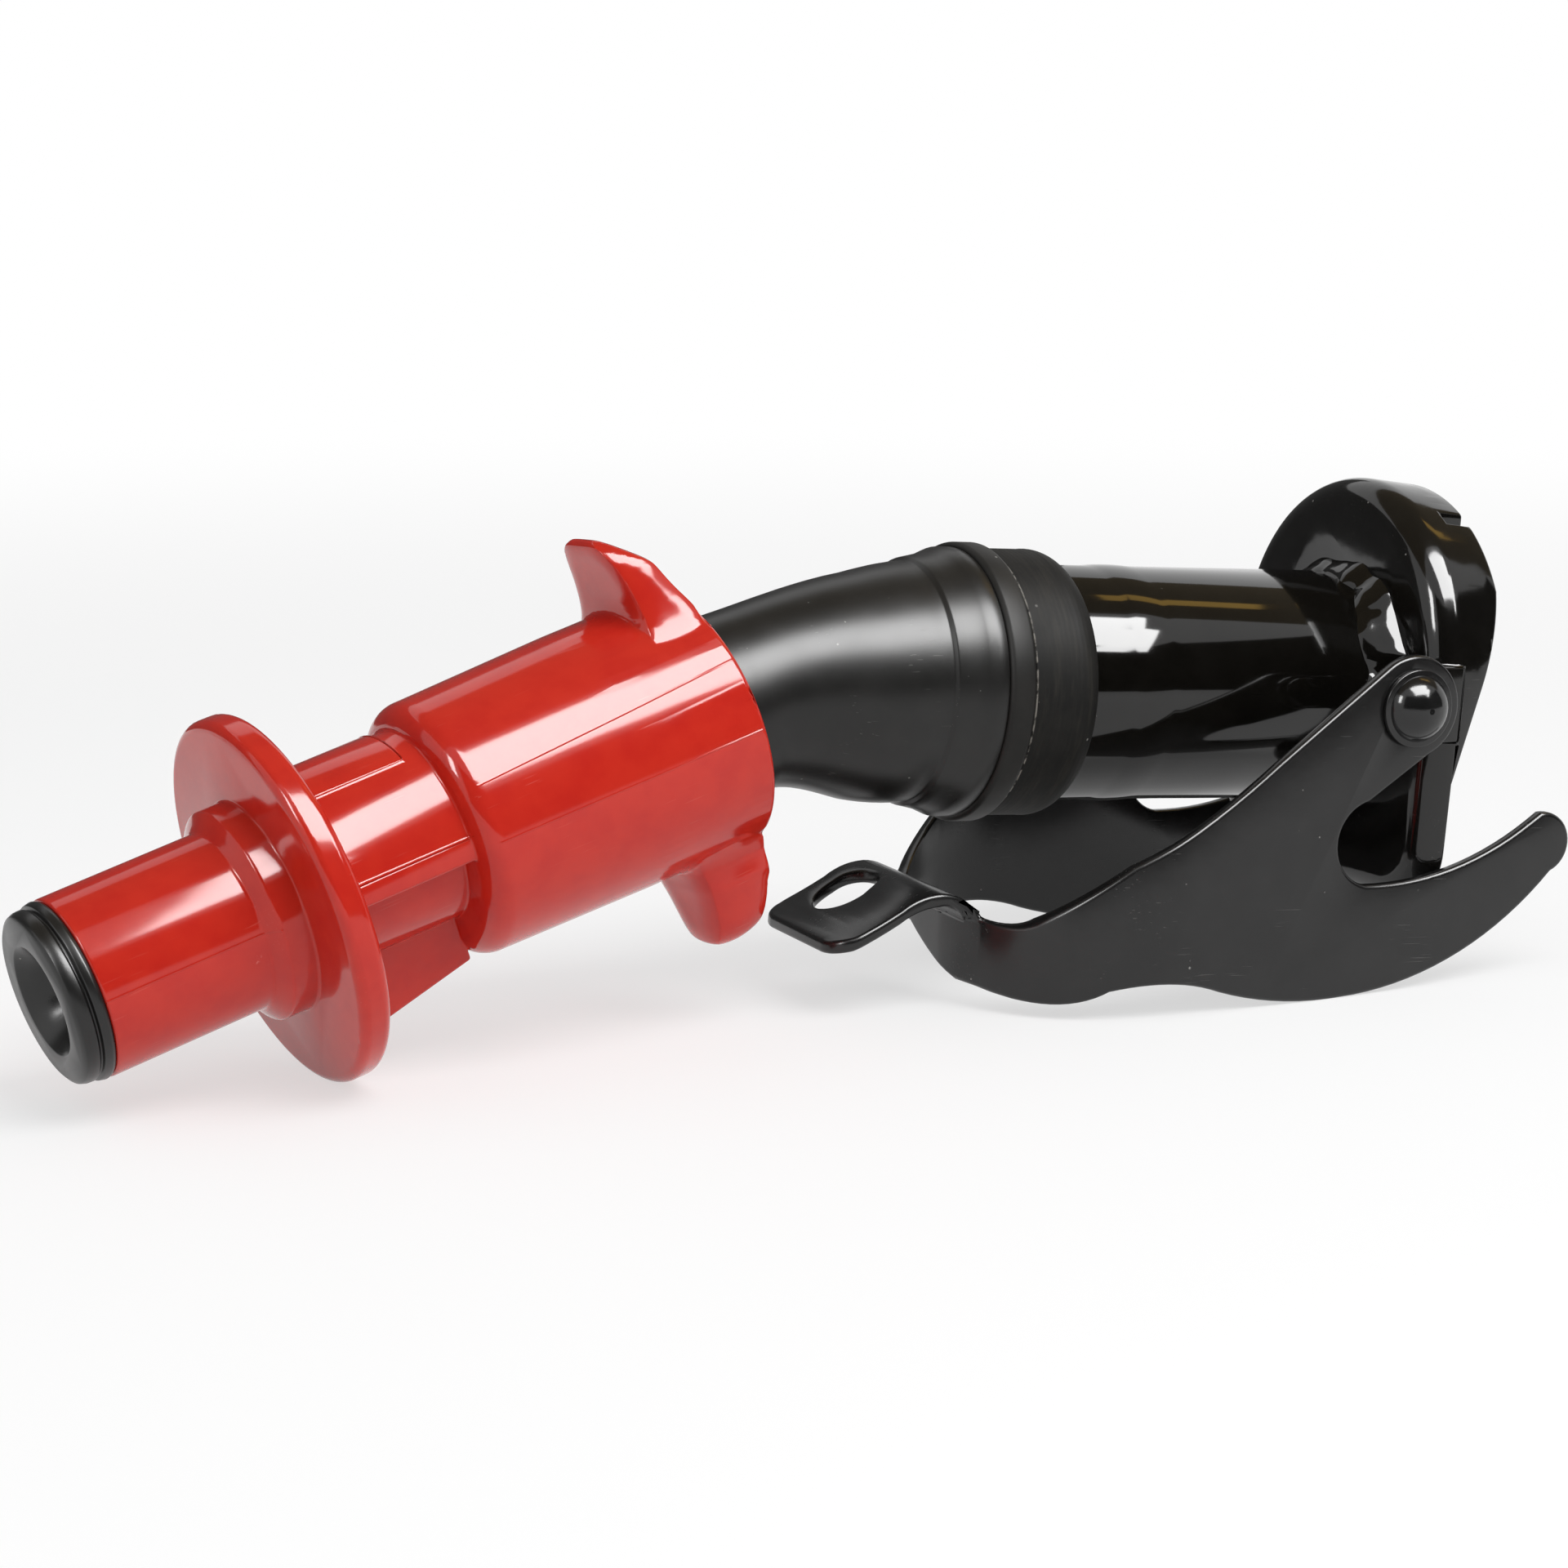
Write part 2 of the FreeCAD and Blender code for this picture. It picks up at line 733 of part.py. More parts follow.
def head_outline(inset):
    """D-shaped outline of the pressed head, arched at the top, drawn in inset from its outside."""
    radius = head_radius - inset
    low = head_bottom_z + inset
    corner = head_corner - inset
    side = 1 / math.sqrt(2)
    top = Vector(0, 0, head_arch_z + radius)
    right = Vector(0, radius, head_arch_z)
    left = Vector(0, -radius, head_arch_z)
    right_low = Vector(0, radius, low + corner)
    left_low = Vector(0, -radius, low + corner)
    right_in = Vector(0, radius - corner, low)
    left_in = Vector(0, -radius + corner, low)
    turn = corner * (1 - side)
    edges = [
        arc(left, top, right),
        line(right, right_low),
        arc(right_low, Vector(0, radius - turn, low + turn), right_in),
        line(right_in, left_in),
        arc(left_in, Vector(0, -radius + turn, low + turn), left_low),
        line(left_low, left),
    ]
    return Part.Wire(edges)


def skirt_block(inset):
    """Solid inside the drawn skirt, which draws in towards its rear."""
    depth = skirt_rear - face_x
    near = head_outline(inset)
    near.translate(Vector(face_x + inset, 0, 0))
    far = head_outline(inset + head_draft)
    far.translate(Vector(face_x + inset + depth, 0, 0))
    return Part.makeLoft([near, far], True, True)


def head():
    """Pressed steel head: face, drawn skirt all round and two ears for the lever's rivets."""
    outer = round_edges(skirt_block(0.0), head_fillet, lambda e: e.BoundBox.XMax < face_x + 0.01)
    floor_x = face_x + sheet
    inner = round_edges(skirt_block(sheet), head_fillet - sheet, lambda e: e.BoundBox.XMax < floor_x + 0.01)
    shell = outer.cut(inner)
    below = -beyond / 2
    lean = [
        Vector(skirt_rear + 1, below, skirt_high_z),
        Vector(skirt_rear, below, skirt_high_z),
        Vector(skirt_low_x, below, skirt_low_z),
        Vector(skirt_low_x - 0.6, below, below),
        Vector(skirt_rear + 1, below, below),
    ]
    wedge = Part.Face(Part.makePolygon(lean + [lean[0]])).extrude(ACROSS * beyond)
    shell = shell.cut(wedge)
    for sign in (-1, 1):
        y_low = sign * skirt_notch_y - skirt_notch / 2
        notch = block(0.6, skirt_rear + 1, y_low, y_low + skirt_notch, head_arch_z, beyond)
        shell = shell.cut(notch)
    ears = []
    for sign in (-1, 1):
        y_start = -head_radius if sign < 0 else head_radius - sheet
        disc = Part.makeCylinder(ear_radius, sheet, Vector(pivot_x, y_start, pivot_z), ACROSS)
        root = face_x + head_fillet + 0.2
        neck = block(pivot_x, root, y_start, y_start + sheet, pivot_z - ear_radius, pivot_z + ear_radius)
        ears += [disc, neck]
    shape = shell.fuse(ears)
    shape = shape.cut(rod(face_x - 1, face_x + sheet + 1, tube_radius))
    return solid_of(shape.cut(rivet_drill(rivet_radius)))


def rivet_drill(radius):
    """Cutter through both sides of the head and the lever on the pivot's axis."""
    start = Vector(pivot_x, -beyond / 2, pivot_z)
    return Part.makeCylinder(radius, beyond, start, ACROSS)


def mouth_gasket():
    """Rubber ring that seals on the can's mouth, chamfered to clear the head's inner corner."""
    chamfer = head_fillet - sheet + face_gap
    front = -gasket_thickness
    return turned([
        (front, gasket_bore),
        (0.0, gasket_bore),
        (0.0, gasket_radius),
        (front + chamfer, gasket_radius),
        (front, gasket_radius - chamfer),
    ])


# Lever

def side_point(along, up):
    """A point of the lever's side view, from its pivot, in parts of the reach to the web."""
    return Vector(pivot_x + along * lever_reach, -beyond / 2, pivot_z + up * lever_reach)


def lever_side_outline():
    """Side view of the lever: eye, arm, front web, claw and the claw's slot."""
    eye = side_point(0, 0)
    start = eye + Vector(-0.65, 0, 0.76) * eye_radius
    over = eye + Vector(0.53, 0, 0.848) * eye_radius
    nose = eye + Vector(0.425, 0, -0.905) * eye_radius
    stops = [
        (nose, None, side_point(-0.102, -0.225)),
        (side_point(-0.102, -0.225), side_point(-0.177, -0.336), side_point(-0.091, -0.426)),
        (side_point(-0.091, -0.426), side_point(0.157, -0.386), side_point(0.397, -0.256)),
        (side_point(0.397, -0.256), side_point(0.479, -0.298), side_point(0.442, -0.400)),
        (side_point(0.442, -0.400), side_point(0.185, -0.603), side_point(-0.133, -0.697)),
        (side_point(-0.133, -0.697), side_point(-0.305, -0.702), side_point(-0.470, -0.675)),
        (side_point(-0.470, -0.675), side_point(-0.616, -0.654), side_point(-0.744, -0.676)),
        (side_point(-0.744, -0.676), side_point(-0.861, -0.720), side_point(-0.963, -0.709)),
        (side_point(-0.963, -0.709), None, side_point(-1.073, -0.689)),
        (side_point(-1.073, -0.689), None, side_point(-1.073, -0.517)),
        (side_point(-1.073, -0.517), None, side_point(-0.989, -0.527)),
        (side_point(-0.989, -0.527), side_point(-0.938, -0.550), side_point(-0.883, -0.525)),
        (side_point(-0.883, -0.525), None, side_point(-0.711, -0.378)),
        (side_point(-0.711, -0.378), side_point(-0.543, -0.274), side_point(-0.360, -0.132)),
        (side_point(-0.360, -0.132), None, start),
    ]
    edges = [arc(start, over, nose)]
    for first, middle, last in stops:
        edges.append(arc(first, middle, last) if middle else line(first, last))
    return Part.Face(Part.Wire(edges))


def lever_plan(inset):
    """Plan of the lever: two straight plates joined by a rounded web, drawn in from outside."""
    half = lever_outer - inset
    bend = lever_bend - inset
    front = web_x + inset
    rear = head_radius
    diagonal = bend * (1 - 1 / math.sqrt(2))
    edges = [
        line(Vector(rear, -half, 0), Vector(front + bend, -half, 0)),
        arc(
            Vector(front + bend, -half, 0),
            Vector(front + diagonal, -half + diagonal, 0),
            Vector(front, -half + bend, 0),
        ),
        line(Vector(front, -half + bend, 0), Vector(front, half - bend, 0)),
        arc(
            Vector(front, half - bend, 0),
            Vector(front + diagonal, half - diagonal, 0),
            Vector(front + bend, half, 0),
        ),
        line(Vector(front + bend, half, 0), Vector(rear, half, 0)),
        line(Vector(rear, half, 0), Vector(rear, -half, 0)),
    ]
    face = Part.Face(Part.Wire(edges))
    face.translate(Vector(0, 0, -beyond / 2))
    return face.extrude(UP * beyond)


def lever_tab():
    """Thumb tab: bent forward out of the web's top edge, humped, with a round hole."""
    t = lever_sheet
    y = -tab_half_width
    inner_x = web_x + t
    crest = Vector(tab_crest_x, y, tab_crest_z + t)
    tip = Vector(tab_tip_x, y, tab_tip_z + t)
    tail = Vector(tab_tip_x + 2.9, y, tip.z + 0.9)
    knee = Vector(tab_crest_x - 5.5, y, crest.z - 2.1)
    dip = (tail + knee) * 0.5 + Vector(0, 0, -0.1)
    brow = Vector(tab_crest_x - 2.7, y, crest.z - 0.55)
    drop = Vector(0, 0, -t)
    bend_top = Vector(inner_x, y, crest.z - 2.8)
    throat = Vector(web_x, y, crest.z - 4.4)
    bend_low = Vector(inner_x, y, throat.z - 0.6)
    foot = Vector(web_x, y, throat.z - 0.6)
    edges = [
        line(tip, tail),
        arc(tail, dip, knee),
        arc(knee, brow, crest),
        arc(crest, Vector(inner_x - 2.0, y, crest.z - 0.95), bend_top),
        line(bend_top, bend_low),
        line(bend_low, foot),
        line(foot, throat),
        arc(throat, Vector(web_x - 0.9, y, crest.z - t - 0.75), crest + drop),
        arc(crest + drop, brow + drop, knee + drop),
        arc(knee + drop, dip + drop, tail + drop),
        line(tail + drop, tip + drop),
        line(tip + drop, tip),
    ]
    strip = Part.Face(Part.Wire(edges)).extrude(ACROSS * (2 * tab_half_width))

    def corner(edge):
        box = edge.BoundBox
        upright = abs(box.ZLength - t) < 0.01 and box.XLength < 0.01 and box.YLength < 0.01
        return upright and box.XMax < tab_tip_x + 0.1

    strip = round_edges(strip, tab_corner, corner)
    root = block(web_x - 0.1, inner_x + 0.1, y - 1, 1 - y, foot.z - 1, bend_top.z - 0.6)
    strip = strip.cut(root).fuse(strip.common(root).common(lever_plan(0.0)))
    hole = Part.makeCylinder(tab_hole_radius, beyond, Vector(tab_hole_x, tab_hole_y, -beyond / 2), UP)
    return strip.cut(hole)


def web_arch():
    """Cutter for the arch in the web's lower edge, which rises from the near lobe to the far side."""
    low = web_arch_foot - 6.0
    near = Vector(0, web_arch_near, web_arch_foot)
    crown = Vector(0, web_arch_crown, web_arch_top)
    sag = Vector(0, 1.2, -0.6)
    edges = [
        arc(near, (near + crown) * 0.5 + sag, crown),
        line(crown, Vector(0, web_arch_far, web_arch_top)),
        line(Vector(0, web_arch_far, web_arch_top), Vector(0, web_arch_far, low)),
        line(Vector(0, web_arch_far, low), Vector(0, web_arch_near, low)),
        line(Vector(0, web_arch_near, low), near),
    ]
    cutter = Part.Face(Part.Wire(edges)).extrude(AXIS * web_arch_depth)
    cutter.translate(Vector(web_x - 2.0, 0, 0))
    return cutter


def lever():
    """Closing lever: two clawed side plates, their web and the tab, one pressing."""
    side = lever_side_outline().extrude(ACROSS * beyond)
    wall = lever_plan(0.0).cut(lever_plan(lever_sheet))
    shape = side.common(wall).cut(web_arch()).fuse(lever_tab())
    return solid_of(shape.cut(rivet_drill(rivet_radius + rivet_clearance)))


def washers():
    """One washer under each rivet's head."""
    pair = []
    for sign in (-1, 1):
        start = rivet_seat - washer_thickness if sign > 0 else -rivet_seat
        disc = Part.makeCylinder(washer_radius, washer_thickness, Vector(pivot_x, start, pivot_z), ACROSS)
        hole = Part.makeCylinder(rivet_radius, washer_thickness, Vector(pivot_x, start, pivot_z), ACROSS)
        pair.append(disc.cut(hole))
    return pair


def rivet(sign):
    """One domed rivet through washer, lever and ear, clenched inside."""
    ear = head_radius - sheet
    inner = ear - rivet_tail_height
    sphere = (rivet_head_radius ** 2 + rivet_head_height ** 2) / (2 * rivet_head_height)
    centre = rivet_seat + rivet_head_height - sphere
    lean = math.asin(rivet_head_radius / sphere) / 2
    foot = Vector(0, rivet_seat, rivet_head_radius)
    bulge = Vector(0, centre + sphere * math.cos(lean), sphere * math.sin(lean))
    crown = Vector(0, rivet_seat + rivet_head_height, 0)
    corners = [
        Vector(0, inner, 0),
        Vector(0, inner, rivet_tail_radius - 0.6),
        Vector(0, inner + 0.6, rivet_tail_radius),
        Vector(0, ear, rivet_tail_radius),
        Vector(0, ear, rivet_radius),
        Vector(0, rivet_seat, rivet_radius),
        foot,
    ]
    edges = [line(corners[i], corners[i + 1]) for i in range(len(corners) - 1)]
    edges += [arc(foot, bulge, crown), line(crown, corners[0])]
    body = Part.Face(Part.Wire(edges)).revolve(HERE, ACROSS, 360).Solids[0]
    if sign < 0:
        body.rotate(HERE, AXIS, 180)
    body.translate(Vector(pivot_x, 0, pivot_z))
    return body


def all_nodes():
    """Every node's name with its solids, in the order of the assembly."""
    front = placed_in_front
    return {
        "tip_cap": [front(tip_cap())],
        "tip_seal": [front(seal_ring(tip_ring_station))],
        "vent_tube": [vent_tube()],
        "front_vent_spider": [front(vent_spider(stem_front, stem_bore))],
        "rear_vent_spider": [rear_vent_spider()],
        "red_sleeve": [front(red_sleeve(), sleeve_turn)],
        "rear_guide_ring": [front(rear_guide_ring())],
        "front_spring_washer": [front(front_spring_washer())],
        "return_spring": [front(return_spring())],
        "rear_spring_washer": [front(rear_spring_washer())],
        "stem_seals": [front(seal_ring(station)) for station in stem_ring_stations()],
        "elbow": [elbow()],
        "swivel_seal": [swivel_seal()],
        "collar_ring": [collar_ring()],
        "rubber_cuff": [rubber_cuff()],
        "steel_tube": [steel_tube()],
        "weld_bead": [weld_bead()],
        "head": [head()],
        "mouth_gasket": [mouth_gasket()],
        "lever": [lever()],
        "washers": washers(),
        "rivets": [rivet(-1), rivet(1)],
    }


os.makedirs("parts", exist_ok=True)
for name, solids in all_nodes().items():
    shape = solids[0] if len(solids) == 1 else Part.makeCompound(solids)
    shape.exportStep(os.path.join("parts", name + ".step"))
    state = "valid" if shape.isValid() else "INVALID"
    print(name, len(shape.Solids), "solids", state, round(shape.Volume, 1))
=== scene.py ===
"""Automatic jerry can spout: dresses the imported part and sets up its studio."""
import logging
import math
from dataclasses import dataclass
from enum import Enum
from typing import Optional, Union

import bmesh
import bpy
from mathutils import Matrix, Vector, noise
from mathutils.bvhtree import BVHTree
from mathutils.kdtree import KDTree


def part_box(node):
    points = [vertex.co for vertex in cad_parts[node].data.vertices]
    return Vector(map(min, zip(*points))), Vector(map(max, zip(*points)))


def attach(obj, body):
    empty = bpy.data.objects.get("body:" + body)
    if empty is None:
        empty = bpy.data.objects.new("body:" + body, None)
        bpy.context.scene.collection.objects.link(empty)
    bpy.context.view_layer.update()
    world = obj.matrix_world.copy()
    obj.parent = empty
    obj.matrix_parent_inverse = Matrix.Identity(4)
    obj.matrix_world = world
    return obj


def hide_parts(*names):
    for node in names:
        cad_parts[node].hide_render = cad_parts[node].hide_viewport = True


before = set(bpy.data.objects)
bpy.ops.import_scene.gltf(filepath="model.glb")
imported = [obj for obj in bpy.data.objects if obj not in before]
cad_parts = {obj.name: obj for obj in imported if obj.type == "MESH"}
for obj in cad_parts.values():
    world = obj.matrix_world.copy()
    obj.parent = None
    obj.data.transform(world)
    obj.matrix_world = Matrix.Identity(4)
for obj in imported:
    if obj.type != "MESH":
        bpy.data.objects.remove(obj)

LOG = logging.getLogger("spout")
MM = 0.001
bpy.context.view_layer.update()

MERGE_GAP = 2e-6
FLAT_TURN = math.radians(0.3)
SHADED_SHARP = math.radians(34)

Number = Union[int, float]
Triple = tuple[float, float, float]
Colour = tuple[float, float, float]


class Body(Enum):
    """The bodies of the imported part."""

    HEAD = "clamp_head"
    ELBOW = "elbow_part"
    SLIDER = "valve_slider"
    SLEEVE = "sleeve"
    LEVER = "lever"


class Slot(Enum):
    """The material slots."""

    STEEL_PAINT = "black_steel"
    PLASTIC = "black_plastic"
    RUBBER = "black_rubber"
    RED = "red_plastic"
    STEEL = "steel"
    FIBRE = "fibre"


class Signal:
    """A shader socket that takes part in Python arithmetic."""

    def __init__(self, graph: "Graph", socket: bpy.types.NodeSocket) -> None:
        """Keeps the socket and the graph that it belongs to."""
        self.graph = graph
        self.socket = socket

    def math(self, operation: str, *values: "Union[Signal, Number]") -> "Signal":
        """Applies a Math node.

        Args:
            operation: The node's operation.
            values: Its inputs in order.

        Returns:
            The node's result.
        """
        made = self.graph.node("ShaderNodeMath", {"operation": operation}, dict(enumerate(values)))
        return Signal(self.graph, made.outputs[0])

    def __add__(self, other: "Union[Signal, Number]") -> "Signal":
        """Adds."""
        return self.math("ADD", self, other)

    __radd__ = __add__

    def __sub__(self, other: "Union[Signal, Number]") -> "Signal":
        """Subtracts."""
        return self.math("SUBTRACT", self, other)

    def __rsub__(self, other: Number) -> "Signal":
        """Subtracts this signal from a number."""
        return self.math("SUBTRACT", other, self)

    def __mul__(self, other: "Union[Signal, Number]") -> "Signal":
        """Multiplies."""
        return self.math("MULTIPLY", self, other)

    __rmul__ = __mul__

    def __truediv__(self, other: "Union[Signal, Number]") -> "Signal":
        """Divides."""
        return self.math("DIVIDE", self, other)

    def __abs__(self) -> "Signal":
        """Drops the sign."""
        return self.math("ABSOLUTE", self)

    def at_most(self, other: "Union[Signal, Number]") -> "Signal":
        """The lesser of two."""
        return self.math("MINIMUM", self, other)

    def at_least(self, other: "Union[Signal, Number]") -> "Signal":
        """The greater of two."""
        return self.math("MAXIMUM", self, other)

    def step(self, low: float, high: float) -> "Signal":
        """Rises smoothly from 0 to 1.

        Args:
            low: Where it is 0.
            high: Where it is 1.

        Returns:
            The smooth step.
        """
        values = {"Value": self, "From Min": low, "From Max": high}
        made = self.graph.node("ShaderNodeMapRange", {"interpolation_type": "SMOOTHSTEP"}, values)
        return Signal(self.graph, made.outputs["Result"])


class Graph:
    """The node tree of one material or of the world."""

    cloud_roughness: float = 0.55
    speck_core: float = 0.55
    pick_edge: float = 0.01

    def __init__(self, tree: bpy.types.NodeTree) -> None:
        """Empties the tree."""
        self.tree = tree
        tree.nodes.clear()

    def node(
        self, kind: str, settings: Optional[dict] = None, inputs: Optional[dict] = None
    ) -> bpy.types.Node:
        """Makes one node.

        Args:
            kind: The node's type.
            settings: Its attributes, set first.
            inputs: Values or links of its sockets by name or number.

        Returns:
            The node.
        """
        made = self.tree.nodes.new(kind)
        for name, value in (settings or {}).items():
            setattr(made, name, value)
        for key, value in (inputs or {}).items():
            if isinstance(value, Signal):
                self.tree.links.new(value.socket, made.inputs[key])
            elif isinstance(value, bpy.types.NodeSocket):
                self.tree.links.new(value, made.inputs[key])
            else:
                made.inputs[key].default_value = value
        return made

    def millimetres(self, place: Optional[Matrix] = None) -> bpy.types.NodeSocket:
        """Object coordinates in millimetres.

        Args:
            place: The frame they are measured in, or None for the part's own.

        Returns:
            The coordinates' socket.
        """
        source = self.node("ShaderNodeTexCoord").outputs["Object"]
        where = place.translation if place else Vector()
        turn = place.to_euler("XYZ") if place else (0.0, 0.0, 0.0)
        values = {"Vector": source, "Location": where, "Rotation": turn, "Scale": (MM, MM, MM)}
        return self.node("ShaderNodeMapping", {"vector_type": "TEXTURE"}, values).outputs["Vector"]

    def axes(self, vector: bpy.types.NodeSocket) -> tuple[Signal, Signal, Signal]:
        """Splits a vector into its three signals."""
        split = self.node("ShaderNodeSeparateXYZ", None, {"Vector": vector})
        return tuple(Signal(self, split.outputs[name]) for name in "XYZ")

    def cloud(self, vector: bpy.types.NodeSocket, per_mm: float, detail: float = 3.0) -> Signal:
        """Soft noise from 0 to 1.

        Args:
            vector: Where it is read, in millimetres.
            per_mm: Its scale.
            detail: How many finer layers it has.

        Returns:
            The noise.
        """
        values = {"Vector": vector, "Scale": per_mm, "Detail": detail, "Roughness": self.cloud_roughness}
        return Signal(self, self.node("ShaderNodeTexNoise", None, values).outputs["Fac"])

    def stretched(
        self, vector: bpy.types.NodeSocket, scale: Triple, turn: Triple = (0.0, 0.0, 0.0)
    ) -> bpy.types.NodeSocket:
        """Turns and stretches coordinates, so that noise on them runs in streaks.

        Args:
            vector: The coordinates.
            scale: The scale on each axis, small along the streaks.
            turn: The streaks' turn in radians.

        Returns:
            The stretched coordinates.
        """
        values = {"Vector": vector, "Scale": scale, "Rotation": turn}
        return self.node("ShaderNodeMapping", {"vector_type": "POINT"}, values).outputs["Vector"]

    def specks(self, vector: bpy.types.NodeSocket, per_mm: float, size: float, share: float) -> Signal:
        """Small round specks in random cells.

        Args:
            vector: Where they are read, in millimetres.
            per_mm: Cells per millimetre.
            size: A speck's radius in cells.
            share: How many cells have one, from 0 to 1.

        Returns:
            1 in a speck, 0 elsewhere.
        """
        cells = self.node("ShaderNodeTexVoronoi", {"feature": "F1"}, {"Vector": vector, "Scale": per_mm})
        distance = Signal(self, cells.outputs["Distance"])
        pick = self.axes(cells.outputs["Color"])[0]
        near = 1.0 - distance.step(size * self.speck_core, size)
        return near * pick.step(1.0 - share - self.pick_edge, 1.0 - share)

    def seen(self) -> Signal:
        """Tells what is looked at from what only lights.

        Returns:
            1 for what the camera, a reflection or a glass shows, 0 for soft light.
        """
        path = self.node("ShaderNodeLightPath")
        shown = Signal(self, path.outputs["Is Camera Ray"])
        for name in ("Is Glossy Ray", "Is Transmission Ray"):
            shown = shown.at_least(Signal(self, path.outputs[name]))
        return shown

    def blend(
        self, factor: Signal, low: Union[Colour, bpy.types.NodeSocket], high: Colour
    ) -> bpy.types.NodeSocket:
        """Mixes two colours.

        Args:
            factor: 0 for the first, 1 for the second.
            low: The first colour or its socket.
            high: The second colour.

        Returns:
            The mixed colour's socket.
        """
        made = self.node("ShaderNodeMix", {"data_type": "RGBA"}, {"Factor": factor})
        for name, value in (("A", low), ("B", high)):
            socket = [s for s in made.inputs if s.name == name and s.type == "RGBA"][0]
            if isinstance(value, bpy.types.NodeSocket):
                self.tree.links.new(value, socket)
            else:
                socket.default_value = (*value, 1.0)
        return [s for s in made.outputs if s.type == "RGBA"][0]


@dataclass(frozen=True)
class Finish:
    """One surface finish, with sizes in millimetres and colours in linear light."""

    name: str
    slot: Slot
    colour: Colour
    second: Colour
    roughness: float
    roughness_swing: float = 0.08
    specular: float = 0.5
    metallic: float = 0.0
    wave_per_mm: float = 0.12
    wave_height: float = 0.02
    grain_per_mm: float = 6.0
    grain_height: float = 0.004
    dust: float = 0.0
    dust_colour: Colour = (0.35, 0.34, 0.32)
    dust_cover: float = 0.6
    fine_specks: tuple[float, float] = (0.62, 0.13)
    coarse_specks: tuple[float, float] = (0.2, 0.07)
    mottle_per_mm: float = 0.21
    mottle_span: tuple[float, float] = (0.35, 0.7)
    smudge_per_mm: float = 0.14
    least_roughness: float = 0.03
    scratches: float = 0.0
    scratch_turns: tuple[Triple, Triple] = ((0.2, 0.5, 0.4), (0.9, -0.4, -0.7))
    scratch_stretch: Triple = (0.11, 3.4, 3.4)
    scratch_span: tuple[float, float] = (0.7, 0.75)
    scratch_cover: float = 0.16
    scratch_dulling: float = 0.12
    patch_per_mm: float = 0.13
    patch_span: tuple[float, float] = (0.54, 0.66)

    def place(self) -> Optional[Matrix]:
        """The frame that the finish's pattern is drawn in."""
        return None

    def relief(self, graph: Graph, where: bpy.types.NodeSocket) -> Signal:
        """Shapes the surface's fine height.

        Args:
            graph: The material's graph.
            where: Coordinates in millimetres.

        Returns:
            The height in millimetres, for the bump.
        """
        wave = graph.cloud(where, self.wave_per_mm, 2.0) * self.wave_height
        return wave + graph.cloud(where, self.grain_per_mm, 2.0) * self.grain_height

    def paint(self, graph: Graph, where: bpy.types.NodeSocket) -> bpy.types.NodeSocket:
        """Mixes the base colour from its mottling, dust and scratches.

        Args:
            graph: The material's graph.
            where: Coordinates in millimetres.

        Returns:
            The colour's socket.
        """
        mottle = graph.cloud(where, self.mottle_per_mm, 4.0).step(*self.mottle_span)
        colour = graph.blend(mottle, self.colour, self.second)
        if self.dust:
            fine = graph.specks(where, *self.fine_specks, self.dust)
            coarse = graph.specks(where, *self.coarse_specks, self.dust)
            colour = graph.blend(fine.at_least(coarse) * self.dust_cover, colour, self.dust_colour)
        if self.scratches:
            cover = self.scratch(graph, where) * (self.scratch_cover * self.scratches)
            colour = graph.blend(cover, colour, self.dust_colour)
        return colour

    def scratch(self, graph: Graph, where: bpy.types.NodeSocket) -> Signal:
        """Draws sparse fine handling scratches in two directions.

        Args:
            graph: The material's graph.
            where: Coordinates in millimetres.

        Returns:
            1 in a scratch, 0 elsewhere.
        """
        marks = []
        for turn in self.scratch_turns:
            line = graph.cloud(graph.stretched(where, self.scratch_stretch, turn), 1.0, 1.0)
            marks.append(line.step(*self.scratch_span))
        patch = graph.cloud(where, self.patch_per_mm, 1.0).step(*self.patch_span)
        return marks[0].at_least(marks[1]) * patch

    def gloss(self, graph: Graph, where: bpy.types.NodeSocket) -> Signal:
        """Varies the roughness with smudges and duller scratches.

        Args:
            graph: The material's graph.
            where: Coordinates in millimetres.

        Returns:
            The roughness.
        """
        smudge = graph.cloud(where, self.smudge_per_mm, 5.0) - 0.5
        dull = smudge * (2 * self.roughness_swing) + self.roughness
        if self.scratches:
            dull = dull + self.scratch(graph, where) * self.scratch_dulling
        return dull.at_least(self.least_roughness).at_most(1.0)

    def material(self) -> bpy.types.Material:
        """Builds the material once.

        Returns:
            The material, which may be there already.
        """
        made = bpy.data.materials.get(self.name)
        if made:
            return made
        made = bpy.data.materials.new(self.name)
        made.use_nodes = True
        graph = Graph(made.node_tree)
        where = graph.millimetres(self.place())
        bump = graph.node("ShaderNodeBump", None, {"Distance": MM, "Height": self.relief(graph, where)})
        values = {
            "Base Color": self.paint(graph, where),
            "Roughness": self.gloss(graph, where),
            "Metallic": self.metallic,
            "Specular IOR Level": self.specular,
            "Normal": bump.outputs["Normal"],
        }
        shader = graph.node("ShaderNodeBsdfPrincipled", None, values)
        graph.node("ShaderNodeOutputMaterial", None, {"Surface": shader.outputs["BSDF"]})
        made.diffuse_color = (*self.colour, 1.0)
        return made


